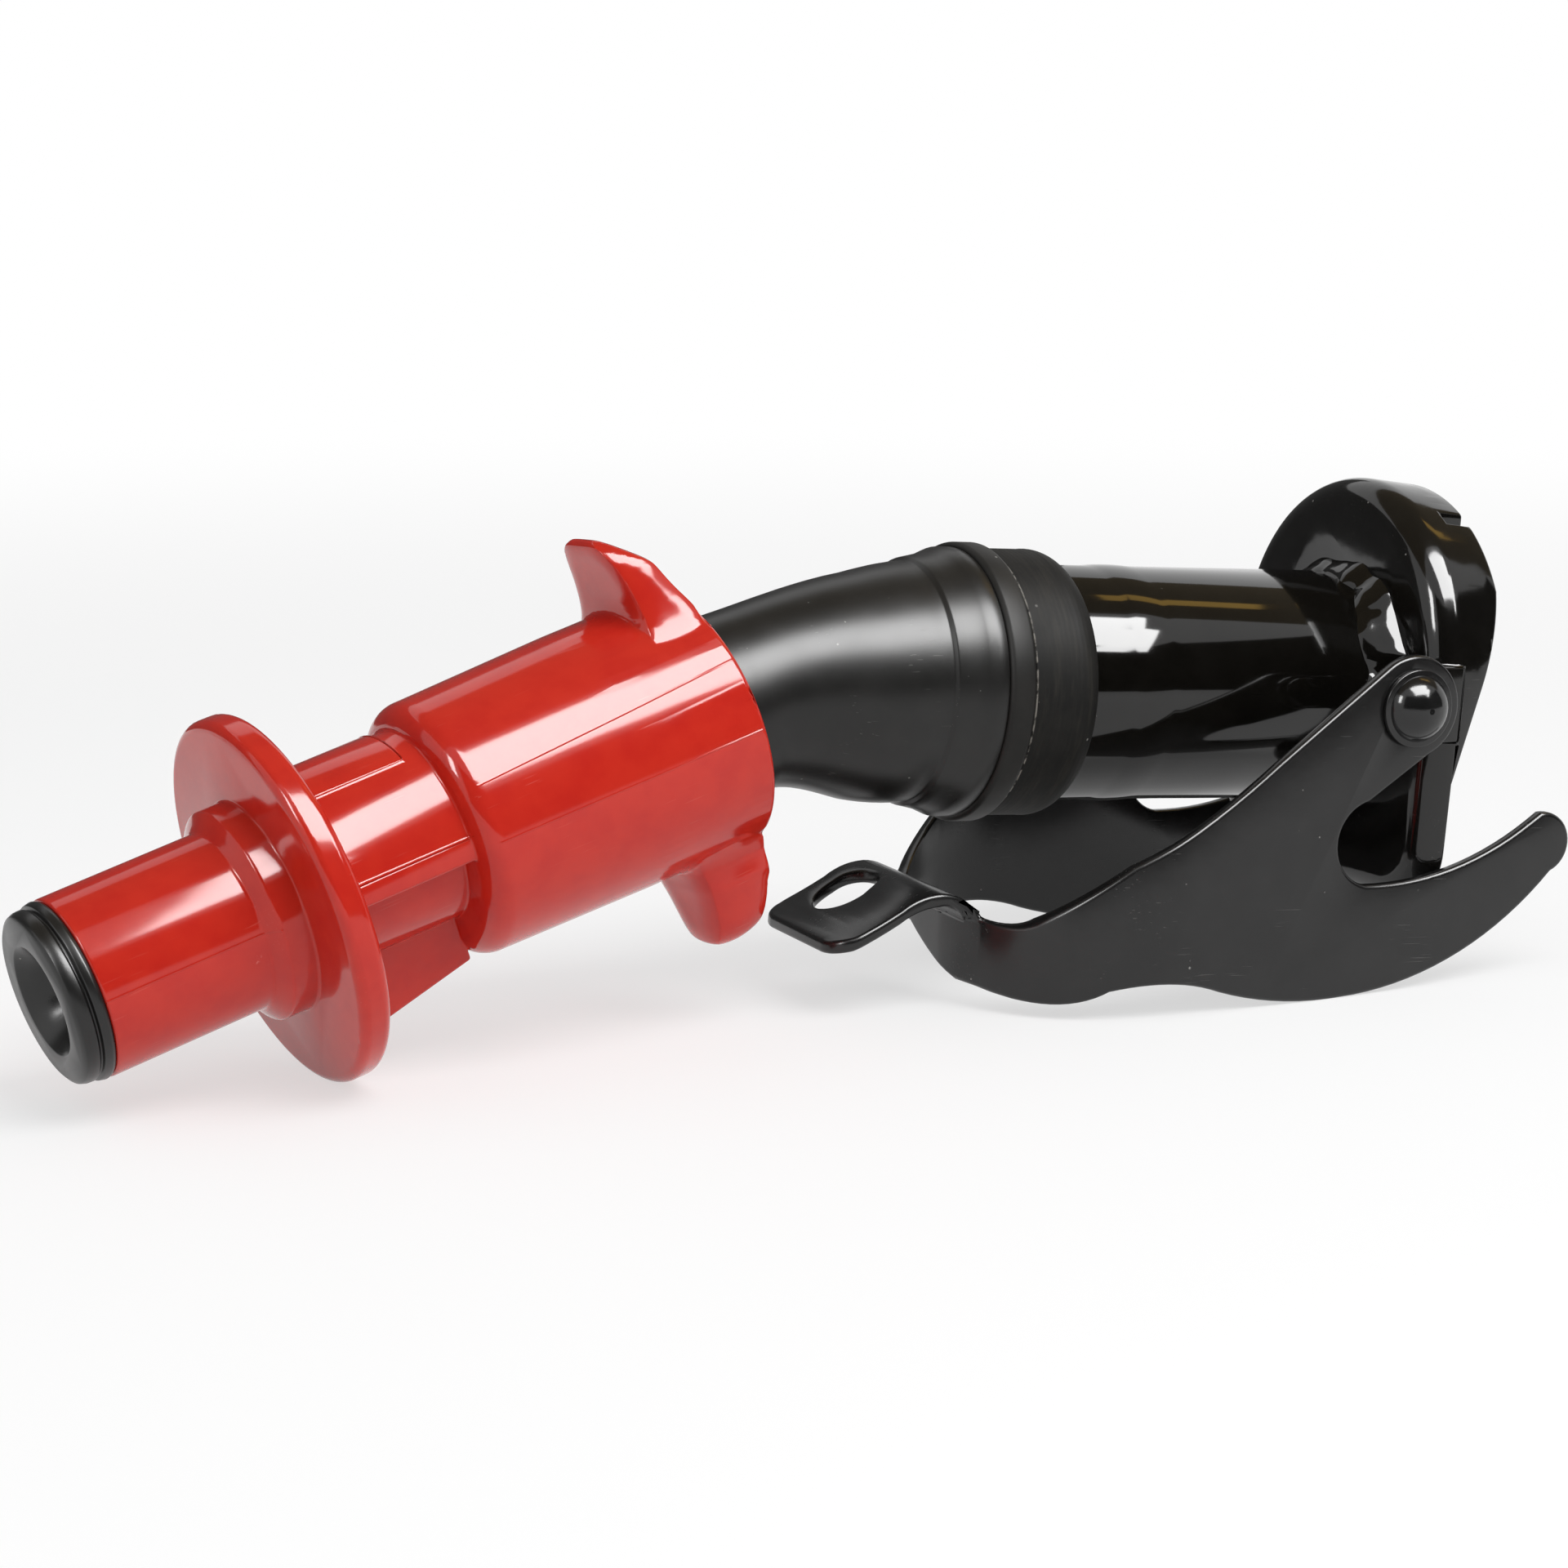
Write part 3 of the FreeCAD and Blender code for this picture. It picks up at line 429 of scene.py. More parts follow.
@dataclass(frozen=True)
class BentEnd:
    """The frame of the nozzle: x runs forward along its axis from the bend."""

    bend_to_seat: float = 88.7
    bend_angle: float = 21.3
    swivel: float = 16.0
    sleeve_turn: float = -12.0

    def matrix(self, turned: bool = False) -> Matrix:
        """The frame in metres.

        Args:
            turned: Whether it also turns with the sleeve.

        Returns:
            The matrix from the nozzle's frame to the part's.
        """
        turn = math.radians(self.sleeve_turn if turned else 0.0)
        swing = Matrix.Rotation(math.radians(-self.swivel), 4, "X")
        pitch = Matrix.Rotation(math.radians(-self.bend_angle), 4, "Y")
        about = Matrix.Rotation(math.pi, 4, "Z")
        spin = Matrix.Rotation(turn, 4, "X")
        return Matrix.Translation((-self.bend_to_seat * MM, 0, 0)) @ swing @ pitch @ about @ spin


@dataclass(frozen=True)
class RedMoulding(Finish):
    """Glossy red plastic with the mould's parting lines and faint flow marks."""

    seam_width: float = 0.16
    seam_height: float = 0.06
    neck_front: float = 78.0
    neck_run: float = 0.4
    body_front: tuple[float, float] = (49.0, 51.0)
    slide_level: float = 9.6
    slide_slope: float = 0.05
    slide_share: float = 0.5
    rub_specks: Triple = (0.11, 0.09, 0.1)
    rub_per_mm: float = 1.6
    rub_span: tuple[float, float] = (0.5, 0.64)
    rub_cover: float = 0.35
    rub_colour: Colour = (0.8, 0.3, 0.24)

    def place(self) -> Optional[Matrix]:
        """The sleeve's own frame."""
        return BentEnd().matrix(turned=True)

    def relief(self, graph: Graph, where: bpy.types.NodeSocket) -> Signal:
        """Adds the parting lines to the plain relief.

        Args:
            graph: The material's graph.
            where: Coordinates in millimetres.

        Returns:
            The height in millimetres.
        """
        along, _, up = graph.axes(where)
        seam = 1.0 - (abs(up) / self.seam_width).at_most(1.0)
        level = up + along * self.slide_slope - self.slide_level
        slide = 1.0 - (abs(level) / self.seam_width).at_most(1.0)
        on_nozzle = along.step(self.neck_front, self.neck_front + self.neck_run)
        on_body = 1.0 - along.step(*self.body_front)
        lines = seam * on_nozzle + (seam + slide * self.slide_share) * on_body
        return super().relief(graph, where) + lines * self.seam_height

    def paint(self, graph: Graph, where: bpy.types.NodeSocket) -> bpy.types.NodeSocket:
        """Adds pale rub marks to the plain colour.

        Args:
            graph: The material's graph.
            where: Coordinates in millimetres.

        Returns:
            The colour's socket.
        """
        colour = super().paint(graph, where)
        worn = graph.cloud(where, self.rub_per_mm, 3.0).step(*self.rub_span)
        rub = graph.specks(where, *self.rub_specks) * worn
        return graph.blend(rub * self.rub_cover, colour, self.rub_colour)


@dataclass(frozen=True)
class CuffRubber(Finish):
    """Dull rubber with faint rings from the mould, a worn bloom and a painted highlight, broken into pieces,
    on its front lip.
    """

    lip_width: float = 0.16
    lip_per_mm: float = 0.8
    lip_span: tuple[float, float] = (0.38, 0.56)
    # Share and colour of the painted highlight on the front lip.
    lip_highlight_cover: float = 0.85
    lip_highlight_colour: Colour = (0.3, 0.28, 0.25)
    ring_turn: float = 9.0
    ring_height: float = 0.004
    streak_scale: Triple = (0.9, 0.12, 0.12)
    streak_span: tuple[float, float] = (0.46, 0.7)
    streak_cover: float = 0.7
    streak_colour: Colour = (0.02, 0.018, 0.0145)

    def relief(self, graph: Graph, where: bpy.types.NodeSocket) -> Signal:
        """Adds fine rings round the tube's axis.

        Args:
            graph: The material's graph.
            where: Coordinates in millimetres.

        Returns:
            The height in millimetres.
        """
        along, _, _ = graph.axes(where)
        turn = along * self.ring_turn
        return super().relief(graph, where) + turn.math("SINE", turn) * self.ring_height

    def paint(self, graph: Graph, where: bpy.types.NodeSocket) -> bpy.types.NodeSocket:
        """Adds streaks along the cuff and a painted highlight: a pale broken line on its front lip.

        Args:
            graph: The material's graph.
            where: Coordinates in millimetres.

        Returns:
            The colour's socket.
        """
        colour = super().paint(graph, where)
        streak = graph.cloud(graph.stretched(where, self.streak_scale), 1.0, 4.0).step(*self.streak_span)
        colour = graph.blend(streak * self.streak_cover, colour, self.streak_colour)
        along, _, _ = graph.axes(where)
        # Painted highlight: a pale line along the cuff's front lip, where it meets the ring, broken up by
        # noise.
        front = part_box("rubber_cuff")[0][0] / MM + self.lip_width
        lip = 1.0 - (abs(along - front) / self.lip_width).at_most(1.0)
        worn = lip * graph.cloud(where, self.lip_per_mm, 3.0).step(*self.lip_span)
        return graph.blend(worn * self.lip_highlight_cover, colour, self.lip_highlight_colour)


class Finishes:
    """Every finish of the spout."""

    red = RedMoulding(
        "red_glossy_plastic", Slot.RED, (0.56, 0.026, 0.014), (0.52, 0.02, 0.012), 0.11,
        roughness_swing=0.03, specular=0.42, wave_per_mm=0.07, wave_height=0.04, grain_height=0.001,
        scratches=0.4, dust_colour=(0.8, 0.36, 0.28),
    )
    elbow = Finish(
        "satin_black_plastic", Slot.PLASTIC, (0.006, 0.0056, 0.005), (0.009, 0.0084, 0.0076), 0.33,
        roughness_swing=0.05, specular=0.42, grain_height=0.003, dust=0.07, scratches=0.7,
    )
    ring = Finish(
        "ring_black_plastic", Slot.PLASTIC, (0.006, 0.0055, 0.0045), (0.01, 0.009, 0.0075), 0.5,
        specular=0.25, dust=0.04,
    )
    tip = Finish(
        "tip_black_plastic", Slot.PLASTIC, (0.006, 0.0057, 0.0054), (0.009, 0.0085, 0.008), 0.3, dust=0.03,
    )
    cuff = CuffRubber(
        "cuff_rubber", Slot.RUBBER, (0.006, 0.0057, 0.0052), (0.011, 0.0102, 0.0088), 0.6,
        specular=0.14, grain_height=0.006, dust=0.06,
    )
    rubber = Finish("seal_rubber", Slot.RUBBER, (0.014, 0.014, 0.014), (0.02, 0.02, 0.019), 0.6)
    tube = Finish(
        "gloss_black_paint", Slot.STEEL_PAINT, (0.004, 0.0036, 0.003), (0.0055, 0.005, 0.0042), 0.07,
        roughness_swing=0.02, specular=0.5, wave_per_mm=0.08, wave_height=0.015, grain_height=0.0,
        dust=0.015,
    )
    head = Finish(
        "head_black_paint", Slot.STEEL_PAINT, (0.005, 0.0046, 0.004), (0.007, 0.0065, 0.0058), 0.1,
        roughness_swing=0.04, specular=0.5, wave_per_mm=0.16, wave_height=0.05, grain_height=0.0008,
        dust=0.02, scratches=0.5,
    )
    lever = Finish(
        "lever_black_paint", Slot.STEEL_PAINT, (0.007, 0.0067, 0.0066), (0.01, 0.0096, 0.0095), 0.24,
        roughness_swing=0.05, specular=0.5, wave_per_mm=0.2, wave_height=0.03, grain_height=0.0015,
        dust=0.02, scratches=0.8,
    )
    rivet = Finish(
        "rivet_black_paint", Slot.STEEL_PAINT, (0.007, 0.007, 0.007), (0.011, 0.011, 0.011), 0.13,
        roughness_swing=0.05, wave_per_mm=0.5, wave_height=0.015, scratches=0.8,
    )
    steel = Finish(
        "spring_steel", Slot.STEEL, (0.5, 0.5, 0.51), (0.42, 0.42, 0.43), 0.28, metallic=1.0, scratches=0.5,
    )
    fibre = Finish("red_fibre", Slot.FIBRE, (0.3, 0.06, 0.04), (0.24, 0.05, 0.03), 0.7, grain_height=0.02)


@dataclass
class DressedNode:
    """A visible copy of a CAD node with softened edges, which stands for that node."""

    node: str
    body: Body
    finish: Finish
    edge: float = 0.3
    segments: int = 3
    sharp: float = 32.0
    grit: float = 0.03
    thrown: float = 0.55

    def merged(self) -> bmesh.types.BMesh:
        """Copies the node and clears it of slivers and flat seams.

        Returns:
            The copy, with its loose triangles merged.
        """
        work = bmesh.new()
        work.from_mesh(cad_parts[self.node].data)
        bmesh.ops.remove_doubles(work, verts=work.verts, dist=MERGE_GAP)
        bmesh.ops.dissolve_degenerate(work, dist=self.grit * MM, edges=work.edges)
        bmesh.ops.dissolve_limit(
            work, angle_limit=FLAT_TURN, verts=work.verts, edges=work.edges, use_dissolve_boundaries=False,
        )
        return work

    def shape(self, work: bmesh.types.BMesh) -> None:
        """Leaves the plain node as it is."""

    def soften(self, work: bmesh.types.BMesh) -> None:
        """Rounds the sharp edges and sets back what the bevel throws off the surface.

        Args:
            work: The piece's mesh. Its tagged edges stay as they are.
        """
        plain = BVHTree.FromBMesh(work)
        limit = math.radians(self.sharp)
        edges = [
            e for e in work.edges if len(e.link_faces) == 2 and not e.tag and e.calc_face_angle(0.0) > limit
        ]
        bmesh.ops.bevel(
            work, geom=edges, offset=self.edge * MM, offset_type="OFFSET", segments=self.segments,
            profile=0.5, affect="EDGES", clamp_overlap=False, material=-1,
        )
        reach = self.edge * MM * self.thrown
        for vert in work.verts:
            near, _, _, distance = plain.find_nearest(vert.co)
            if distance > reach:
                vert.co = near

    def build(self) -> bpy.types.Object:
        """Makes the piece and hides the node that it stands for.

        Returns:
            The finished piece.
        """
        work = self.merged()
        self.shape(work)
        self.soften(work)
        name = self.node + "_dressed"
        mesh = bpy.data.meshes.new(name)
        work.to_mesh(mesh)
        work.free()
        return finish_piece(name, mesh, self.body, self.finish, (self.node,))


def finish_piece(
    name: str, mesh: bpy.types.Mesh, body: Body, finish: Finish, stands_for: tuple[str, ...] = ()
) -> bpy.types.Object:
    """Turns a mesh into a piece of the part.

    Args:
        name: The piece's name.
        mesh: Its mesh, in the part's frame.
        body: The body that it rides on.
        finish: Its finish.
        stands_for: The CAD nodes that it replaces.

    Returns:
        The piece.
    """
    mesh.materials.clear()
    mesh.materials.append(finish.material())
    mesh.shade_smooth()
    mesh.set_sharp_from_angle(angle=SHADED_SHARP)
    piece = bpy.data.objects.new(name, mesh)
    bpy.context.scene.collection.objects.link(piece)
    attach(piece, body.value)
    if stands_for:
        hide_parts(*stands_for)
    LOG.info("%s: %d faces on %s", name, len(mesh.polygons), body.value)
    return piece


def paint_node(node: str, finish: Finish) -> None:
    """Gives a CAD node its finish and leaves its mesh alone.

    Args:
        node: The node's name.
        finish: Its finish.
    """
    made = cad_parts[node]
    made.data.materials.clear()
    made.data.materials.append(finish.material())
    LOG.info("%s: painted", node)


@dataclass
class WingedSleeve(DressedNode):
    """The red moulding, with its finger wings rounded and faired into the body."""

    body_radius: float = 16.8
    rim: float = 12.95
    wing_front: float = 26.0
    wing_half: float = 15.0
    wing_reach: float = 28.0
    wing_low: float = 8.0
    spacing: float = 0.45
    fairing: float = 1.6
    top_round: float = 0.95
    low_round: float = 1.5
    low_stretch: float = 0.08
    low_swell: float = 0.17
    low_rise: float = 2.5
    back_start: float = 2.2
    back_rise: float = 1.6
    back_fall: float = 4.0
    back_share: tuple[float, float] = (1.9, 0.6)
    skin: float = 1.2
    proud: float = 0.1
    rim_margin: float = 0.5
    cut_gap: float = 1e-4
    reach: float = 2.4
    opposed: float = -0.3
    smoothings: int = 2

    def shape(self, work: bmesh.types.BMesh) -> None:
        """Cuts the wings into small faces and rounds them.

        Args:
            work: The sleeve's mesh in the part's frame.
        """
        place = BentEnd().matrix(turned=True) @ Matrix.Scale(MM, 4)
        bmesh.ops.transform(work, matrix=place.inverted(), verts=work.verts)
        self.cut(work)
        for edge in work.edges:
            edge.tag = False
        self.relax(work)
        bmesh.ops.transform(work, matrix=place, verts=work.verts)

    def near(self, vert: bmesh.types.BMVert) -> bool:
        """Tells whether a corner is on the outside, near a wing.

        Args:
            vert: The corner.

        Returns:
            True near a wing.
        """
        along, across, up = vert.co
        outside = math.hypot(across, up) > self.body_radius - self.skin
        level = self.wing_low < abs(up) and abs(across) < self.wing_half
        return outside and level and self.rim - self.rim_margin < along < self.wing_front

    def cut(self, work: bmesh.types.BMesh) -> None:
        """Cuts the wings along a grid of planes.

        Args:
            work: The sleeve's mesh in its own frame, in millimetres.
        """
        spans = (
            (Vector((1, 0, 0)), self.rim, self.wing_front),
            (Vector((0, 1, 0)), -self.wing_half, self.wing_half),
            (Vector((0, 0, 1)), self.wing_low, self.wing_reach),
            (Vector((0, 0, -1)), self.wing_low, self.wing_reach),
        )
        for normal, start, end in spans:
            for step in range(int((end - start) / self.spacing)):
                verts = {v for v in work.verts if self.near(v)}
                faces = {f for v in verts for f in v.link_faces}
                edges = {e for f in faces for e in f.edges}
                corners = {v for f in faces for v in f.verts}
                bmesh.ops.bisect_plane(
                    work, geom=[*corners, *edges, *faces], dist=self.cut_gap,
                    plane_co=normal * (start + step * self.spacing), plane_no=normal,
                )

    @staticmethod
    def tree_of(places: list[Vector]) -> KDTree:
        """Builds a search tree.

        Args:
            places: The places in it.

        Returns:
            The tree, with the places' own numbers.
        """
        tree = KDTree(len(places))
        for index, place in enumerate(places):
            tree.insert(place, index)
        tree.balance()
        return tree

    def middle_of(
        self, vert: bmesh.types.BMVert, patches: list[tuple[Vector, float, Vector]], tree: KDTree
    ) -> Optional[Vector]:
        """Finds the middle of the surface around a corner.

        Args:
            vert: The corner.
            patches: The centre, area and normal of each face of the wings.
            tree: The faces' centres.

        Returns:
            The middle, weighted by area and nearness, or None where there is no face.
        """
        spread = self.top_round if vert.co.z > 0 else self.low_round
        total, middle = 0.0, Vector()
        for centre, index, distance in tree.find_range(vert.co, self.reach * spread):
            _, area, normal = patches[index]
            if normal.dot(vert.normal) < self.opposed:
                continue
            weight = area * math.exp(-distance * distance / (2 * spread * spread))
            total += weight
            middle += centre * weight
        return middle / total if total else None

    def relax(self, work: bmesh.types.BMesh) -> None:
        """Draws each corner of a wing to the middle of the surface around it.

        Args:
            work: The sleeve's mesh in its own frame, in millimetres.
        """
        work.normal_update()
        patches = [
            (face.calc_center_median(), face.calc_area(), face.normal.copy())
            for face in work.faces
            if any(self.near(vert) for vert in face.verts)
        ]
        tree = self.tree_of([centre for centre, _, _ in patches])
        raised = self.body_radius + self.proud
        wings = self.tree_of(
            [vert.co for vert in work.verts if self.near(vert) and math.hypot(vert.co.y, vert.co.z) > raised]
        )
        moved = {}
        for vert in work.verts:
            if not self.near(vert) or vert.co.x < self.rim:
                continue
            away = wings.find(vert.co)[2] / self.fairing
            if away >= 1.0:
                continue
            middle = self.middle_of(vert, patches, tree)
            if middle is not None:
                share = 1.0 - away * away * (3.0 - 2.0 * away)
                moved[vert] = vert.co.lerp(middle, share)
        self.swell(list(moved.values()))
        for vert, place in moved.items():
            vert.co = place
            for edge in vert.link_edges:
                edge.tag = True
        for _ in range(self.smoothings):
            bmesh.ops.smooth_vert(
                work, verts=list(moved), factor=0.5, use_axis_x=True, use_axis_y=True, use_axis_z=True,
            )

    def swell(self, places: list[Vector]) -> None:
        """Gives the low wing back the thickness and length that its rounding took.

        Args:
            places: Where the corners of the wings go. Those of the low wing are changed.
        """
        middle = (self.rim + self.wing_front) / 2
        root, tip = self.back_share
        for place in places:
            inward = self.back_start - self.body_radius - place.z
            if inward <= 0:
                continue
            beyond = max(-place.z - self.body_radius, 0.0)
            front = min(beyond / self.low_rise, 1.0)
            back = min(inward / self.back_rise, 1.0)
            back *= root + (tip - root) * min(beyond / self.back_fall, 1.0)
            share = front if place.x > middle else back
            place.x = max(place.x + (place.x - middle) * self.low_swell * share, self.rim)
            place.y *= 1.0 + self.low_swell * front
            place.z -= beyond * self.low_stretch


@dataclass
class Sleeve:
    """The red moulding and the ring inside its rear mouth."""

    edge: float = 0.35

    def build(self) -> None:
        """Dresses the sleeve."""
        WingedSleeve("red_sleeve", Body.SLEEVE, Finishes.red, self.edge).build()
        paint_node("rear_guide_ring", Finishes.red)


@dataclass
class Valve:
    """Spring, washers, seals, vent tube and tip cap."""

    tip_edge: float = 0.12

    def build(self) -> None:
        """Dresses the tip cap and paints the inner pieces."""
        DressedNode("tip_cap", Body.ELBOW, Finishes.tip, self.tip_edge, segments=2).build()
        for node in ("front_spring_washer", "rear_spring_washer", "return_spring"):
            paint_node(node, Finishes.steel)
        for node in ("tip_seal", "stem_seals"):
            paint_node(node, Finishes.rubber)
        for node in ("vent_tube", "front_vent_spider", "rear_vent_spider"):
            paint_node(node, Finishes.tip)


@dataclass
class ElbowPart:
    """Elbow, its seal and the collar over its joint with the tube."""

    def build(self) -> None:
        """Dresses the elbow and the collar."""
        DressedNode("elbow", Body.ELBOW, Finishes.elbow, 0.15, segments=2).build()
        DressedNode("collar_ring", Body.ELBOW, Finishes.ring, 0.2, segments=2).build()
        DressedNode("rubber_cuff", Body.ELBOW, Finishes.cuff, 0.2, segments=2).build()
        paint_node("swivel_seal", Finishes.fibre)


@dataclass
class WeldBead:
    """Hand-laid weld round the tube, in lumps where the torch moved on."""

    face_x: float = -6.8
    tube_radius: float = 15.35
    leg: float = 2.0
    heavy_leg: float = 2.4
    heavy_turn: float = -75.0
    heavy_width: float = 50.0
    heavy_rise: float = 0.6
    overlap: float = 0.1
    hollow: float = 0.24
    rough: float = 0.15
    rough_per_mm: float = 0.8
    slow_waves: float = 2.0
    slow_share: tuple[float, float] = (0.35, -0.25)
    lump_waves: float = 5.5
    lump_share: tuple[float, float] = (0.32, 0.25)
    seeds: tuple[float, float] = (0.7, 4.1)
    corner_steps: int = 8
    steps: int = 208
    spun_radius: float = 10.0

    def section(self, turn: float) -> tuple[float, float]:
        """How far the bead reaches along the tube and up the face at one angle.

        Args:
            turn: The angle round the tube in radians.

        Returns:
            Its two legs in millimetres.
        """
        ring = Vector((math.cos(turn), math.sin(turn), 0.0))
        slow = noise.noise(ring * self.slow_waves + Vector((0.0, 0.0, self.seeds[0])))
        lump = noise.noise(ring * self.lump_waves + Vector((0.0, 0.0, self.seeds[1])))
        off = (math.degrees(turn) - self.heavy_turn + 180.0) % 360.0 - 180.0
        heavy = self.heavy_leg * math.exp(-((off / self.heavy_width) ** 2))
        along = (self.leg + heavy) * (1.0 + self.slow_share[0] * slow + self.lump_share[0] * lump)
        rise = self.leg + self.heavy_rise * heavy
        outward = rise * (1.0 + self.slow_share[1] * slow + self.lump_share[1] * lump)
        return along, outward

    def outline(self, work: bmesh.types.BMesh) -> None:
        """Draws the bead's hollow outline at the spinning radius, with legs of 1.

        Args:
            work: The bead's mesh.
        """
        verts = []
        for step in range(self.corner_steps + 1):
            turn = math.pi / 2 * step / self.corner_steps
            bulge = 1.0 - self.hollow * math.sin(2 * turn)
            place = (-math.cos(turn) * bulge, 0.0, math.sin(turn) * bulge + self.spun_radius)
            verts.append(work.verts.new(place))
        for first, second in zip(verts, verts[1:]):
            work.edges.new((first, second))

    def build(self) -> bpy.types.Object:
        """Spins the bead's outline and works the lumps into it.

        Returns:
            The finished piece.
        """
        work = bmesh.new()
        self.outline(work)
        bmesh.ops.spin(
            work, geom=work.verts[:] + work.edges[:], cent=(0, 0, 0), axis=(1, 0, 0),
            angle=2 * math.pi, steps=self.steps, use_merge=True,
        )
        for vert in work.verts:
            turn = math.atan2(vert.co.y, vert.co.z)
            reach = math.hypot(vert.co.y, vert.co.z) - self.spun_radius
            along, outward = self.section(turn)
            radius = self.tube_radius - self.overlap + reach * outward
            radius += noise.noise(vert.co * self.rough_per_mm) * self.rough
            x = self.face_x + self.overlap + vert.co.x * along
            vert.co = Vector((x, math.sin(turn) * radius, math.cos(turn) * radius)) * MM
        bmesh.ops.recalc_face_normals(work, faces=work.faces)
        mesh = bpy.data.meshes.new("weld_lumps")
        work.to_mesh(mesh)
        work.free()
        return finish_piece("weld_lumps", mesh, Body.HEAD, Finishes.tube, ("weld_bead",))


@dataclass
class ClampHead:
    """Steel tube, weld, pressed head, its rubber and the rivets."""

    def build(self) -> None:
        """Dresses the fixed pieces."""
        DressedNode("steel_tube", Body.HEAD, Finishes.tube, 0.2, segments=2).build()
        DressedNode("head", Body.HEAD, Finishes.head, 0.4).build()
        WeldBead().build()
        DressedNode("rivets", Body.HEAD, Finishes.rivet, 0.15, segments=2).build()
        DressedNode("washers", Body.HEAD, Finishes.lever, 0.15, segments=2).build()
        DressedNode("mouth_gasket", Body.HEAD, Finishes.rubber, 0.3, segments=2).build()


@dataclass
class Lever:
    """The clawed lever with its thumb tab."""

    edge: float = 0.55

    def build(self) -> None:
        """Dresses the lever."""
        DressedNode("lever", Body.LEVER, Finishes.lever, self.edge, sharp=40.0, grit=0.1).build()


@dataclass
class SoftBox:
    """One rectangular studio lamp."""

    name: str
    place: Vector
    aim: Vector
    width: float
    height: float
    radiance: float
    colour: Colour = (1.0, 1.0, 1.0)
    glint: bool = False

    def build(self) -> None:
        """Hangs the lamp, which lights reflections alone if it is a glint."""
        lamp = bpy.data.lights.new(self.name, "AREA")
        lamp.shape = "RECTANGLE"
        lamp.size = self.width
        lamp.size_y = self.height
        lamp.energy = math.pi * self.width * self.height * self.radiance
        lamp.color = self.colour
        holder = bpy.data.objects.new(self.name, lamp)
        bpy.context.scene.collection.objects.link(holder)
        holder.location = self.place
        holder.rotation_mode = "QUATERNION"
        holder.rotation_quaternion = (self.aim - self.place).to_track_quat("-Z", "Y")
        holder.visible_camera = False
        holder.visible_diffuse = not self.glint


@dataclass
class PaintedReflectionCard:
    """A card beside the set which only reflections see: a painted reflection, dark or with a faint glow, that
    lights and shades nothing.
    """

    name: str
    # The glow that reflections show on the card: a painted reflection, not a lamp.
    glow: Colour = (0.0, 0.0, 0.0)

    def stand(self, work: bmesh.types.BMesh) -> None:
        """Stands the card.

        Args:
            work: Its mesh in the part's frame, in metres.
        """
        mesh = bpy.data.meshes.new(self.name)
        work.to_mesh(mesh)
        work.free()
        paint = bpy.data.materials.new(self.name)
        paint.use_nodes = True
        graph = Graph(paint.node_tree)
        # The card's painted reflection: a flat glow in its colour, black for a dark card.
        tone = graph.node("ShaderNodeEmission", None, {"Color": (*self.glow, 1.0), "Strength": 1.0})
        graph.node("ShaderNodeOutputMaterial", None, {"Surface": tone.outputs[0]})
        mesh.materials.append(paint)
        holder = bpy.data.objects.new(self.name, mesh)
        bpy.context.scene.collection.objects.link(holder)
        for ray in ("camera", "diffuse", "shadow", "transmission", "volume_scatter"):
            setattr(holder, "visible_" + ray, False)

    def curtain(
        self, radius: float, low: float, high: float, start: float, sweep: float, steps: int = 24
    ) -> None:
        """Bends the card round the set.

        Args:
            radius: Its distance from the middle of the set in metres.
            low: Its lower edge.
            high: Its upper edge.
            start: Where it starts, in degrees from the front towards the right.
            sweep: How far it goes round.
            steps: How many flat panels it has.
        """
        work = bmesh.new()
        turn = math.radians(start)
        foot = Vector((math.sin(turn) * radius, -math.cos(turn) * radius, low))
        ends = [work.verts.new(foot), work.verts.new(foot + Vector((0, 0, high - low)))]
        edge = work.edges.new(ends)
        bmesh.ops.spin(
            work, geom=[*ends, edge], cent=(0, 0, 0), axis=(0, 0, 1), angle=math.radians(sweep), steps=steps,
        )
        self.stand(work)

    def sheet(self, centre: Vector, width: float, depth: float) -> None:
        """Lays the card flat over the set.

        Args:
            centre: Its middle.
            width: Its size from left to right.
            depth: Its size from front to back.
        """
        work = bmesh.new()
        bmesh.ops.create_grid(work, x_segments=2, y_segments=2, size=0.5)
        scale = Matrix.Diagonal((width, depth, 1.0, 1.0))
        bmesh.ops.transform(work, matrix=Matrix.Translation(centre) @ scale, verts=work.verts)
        self.stand(work)


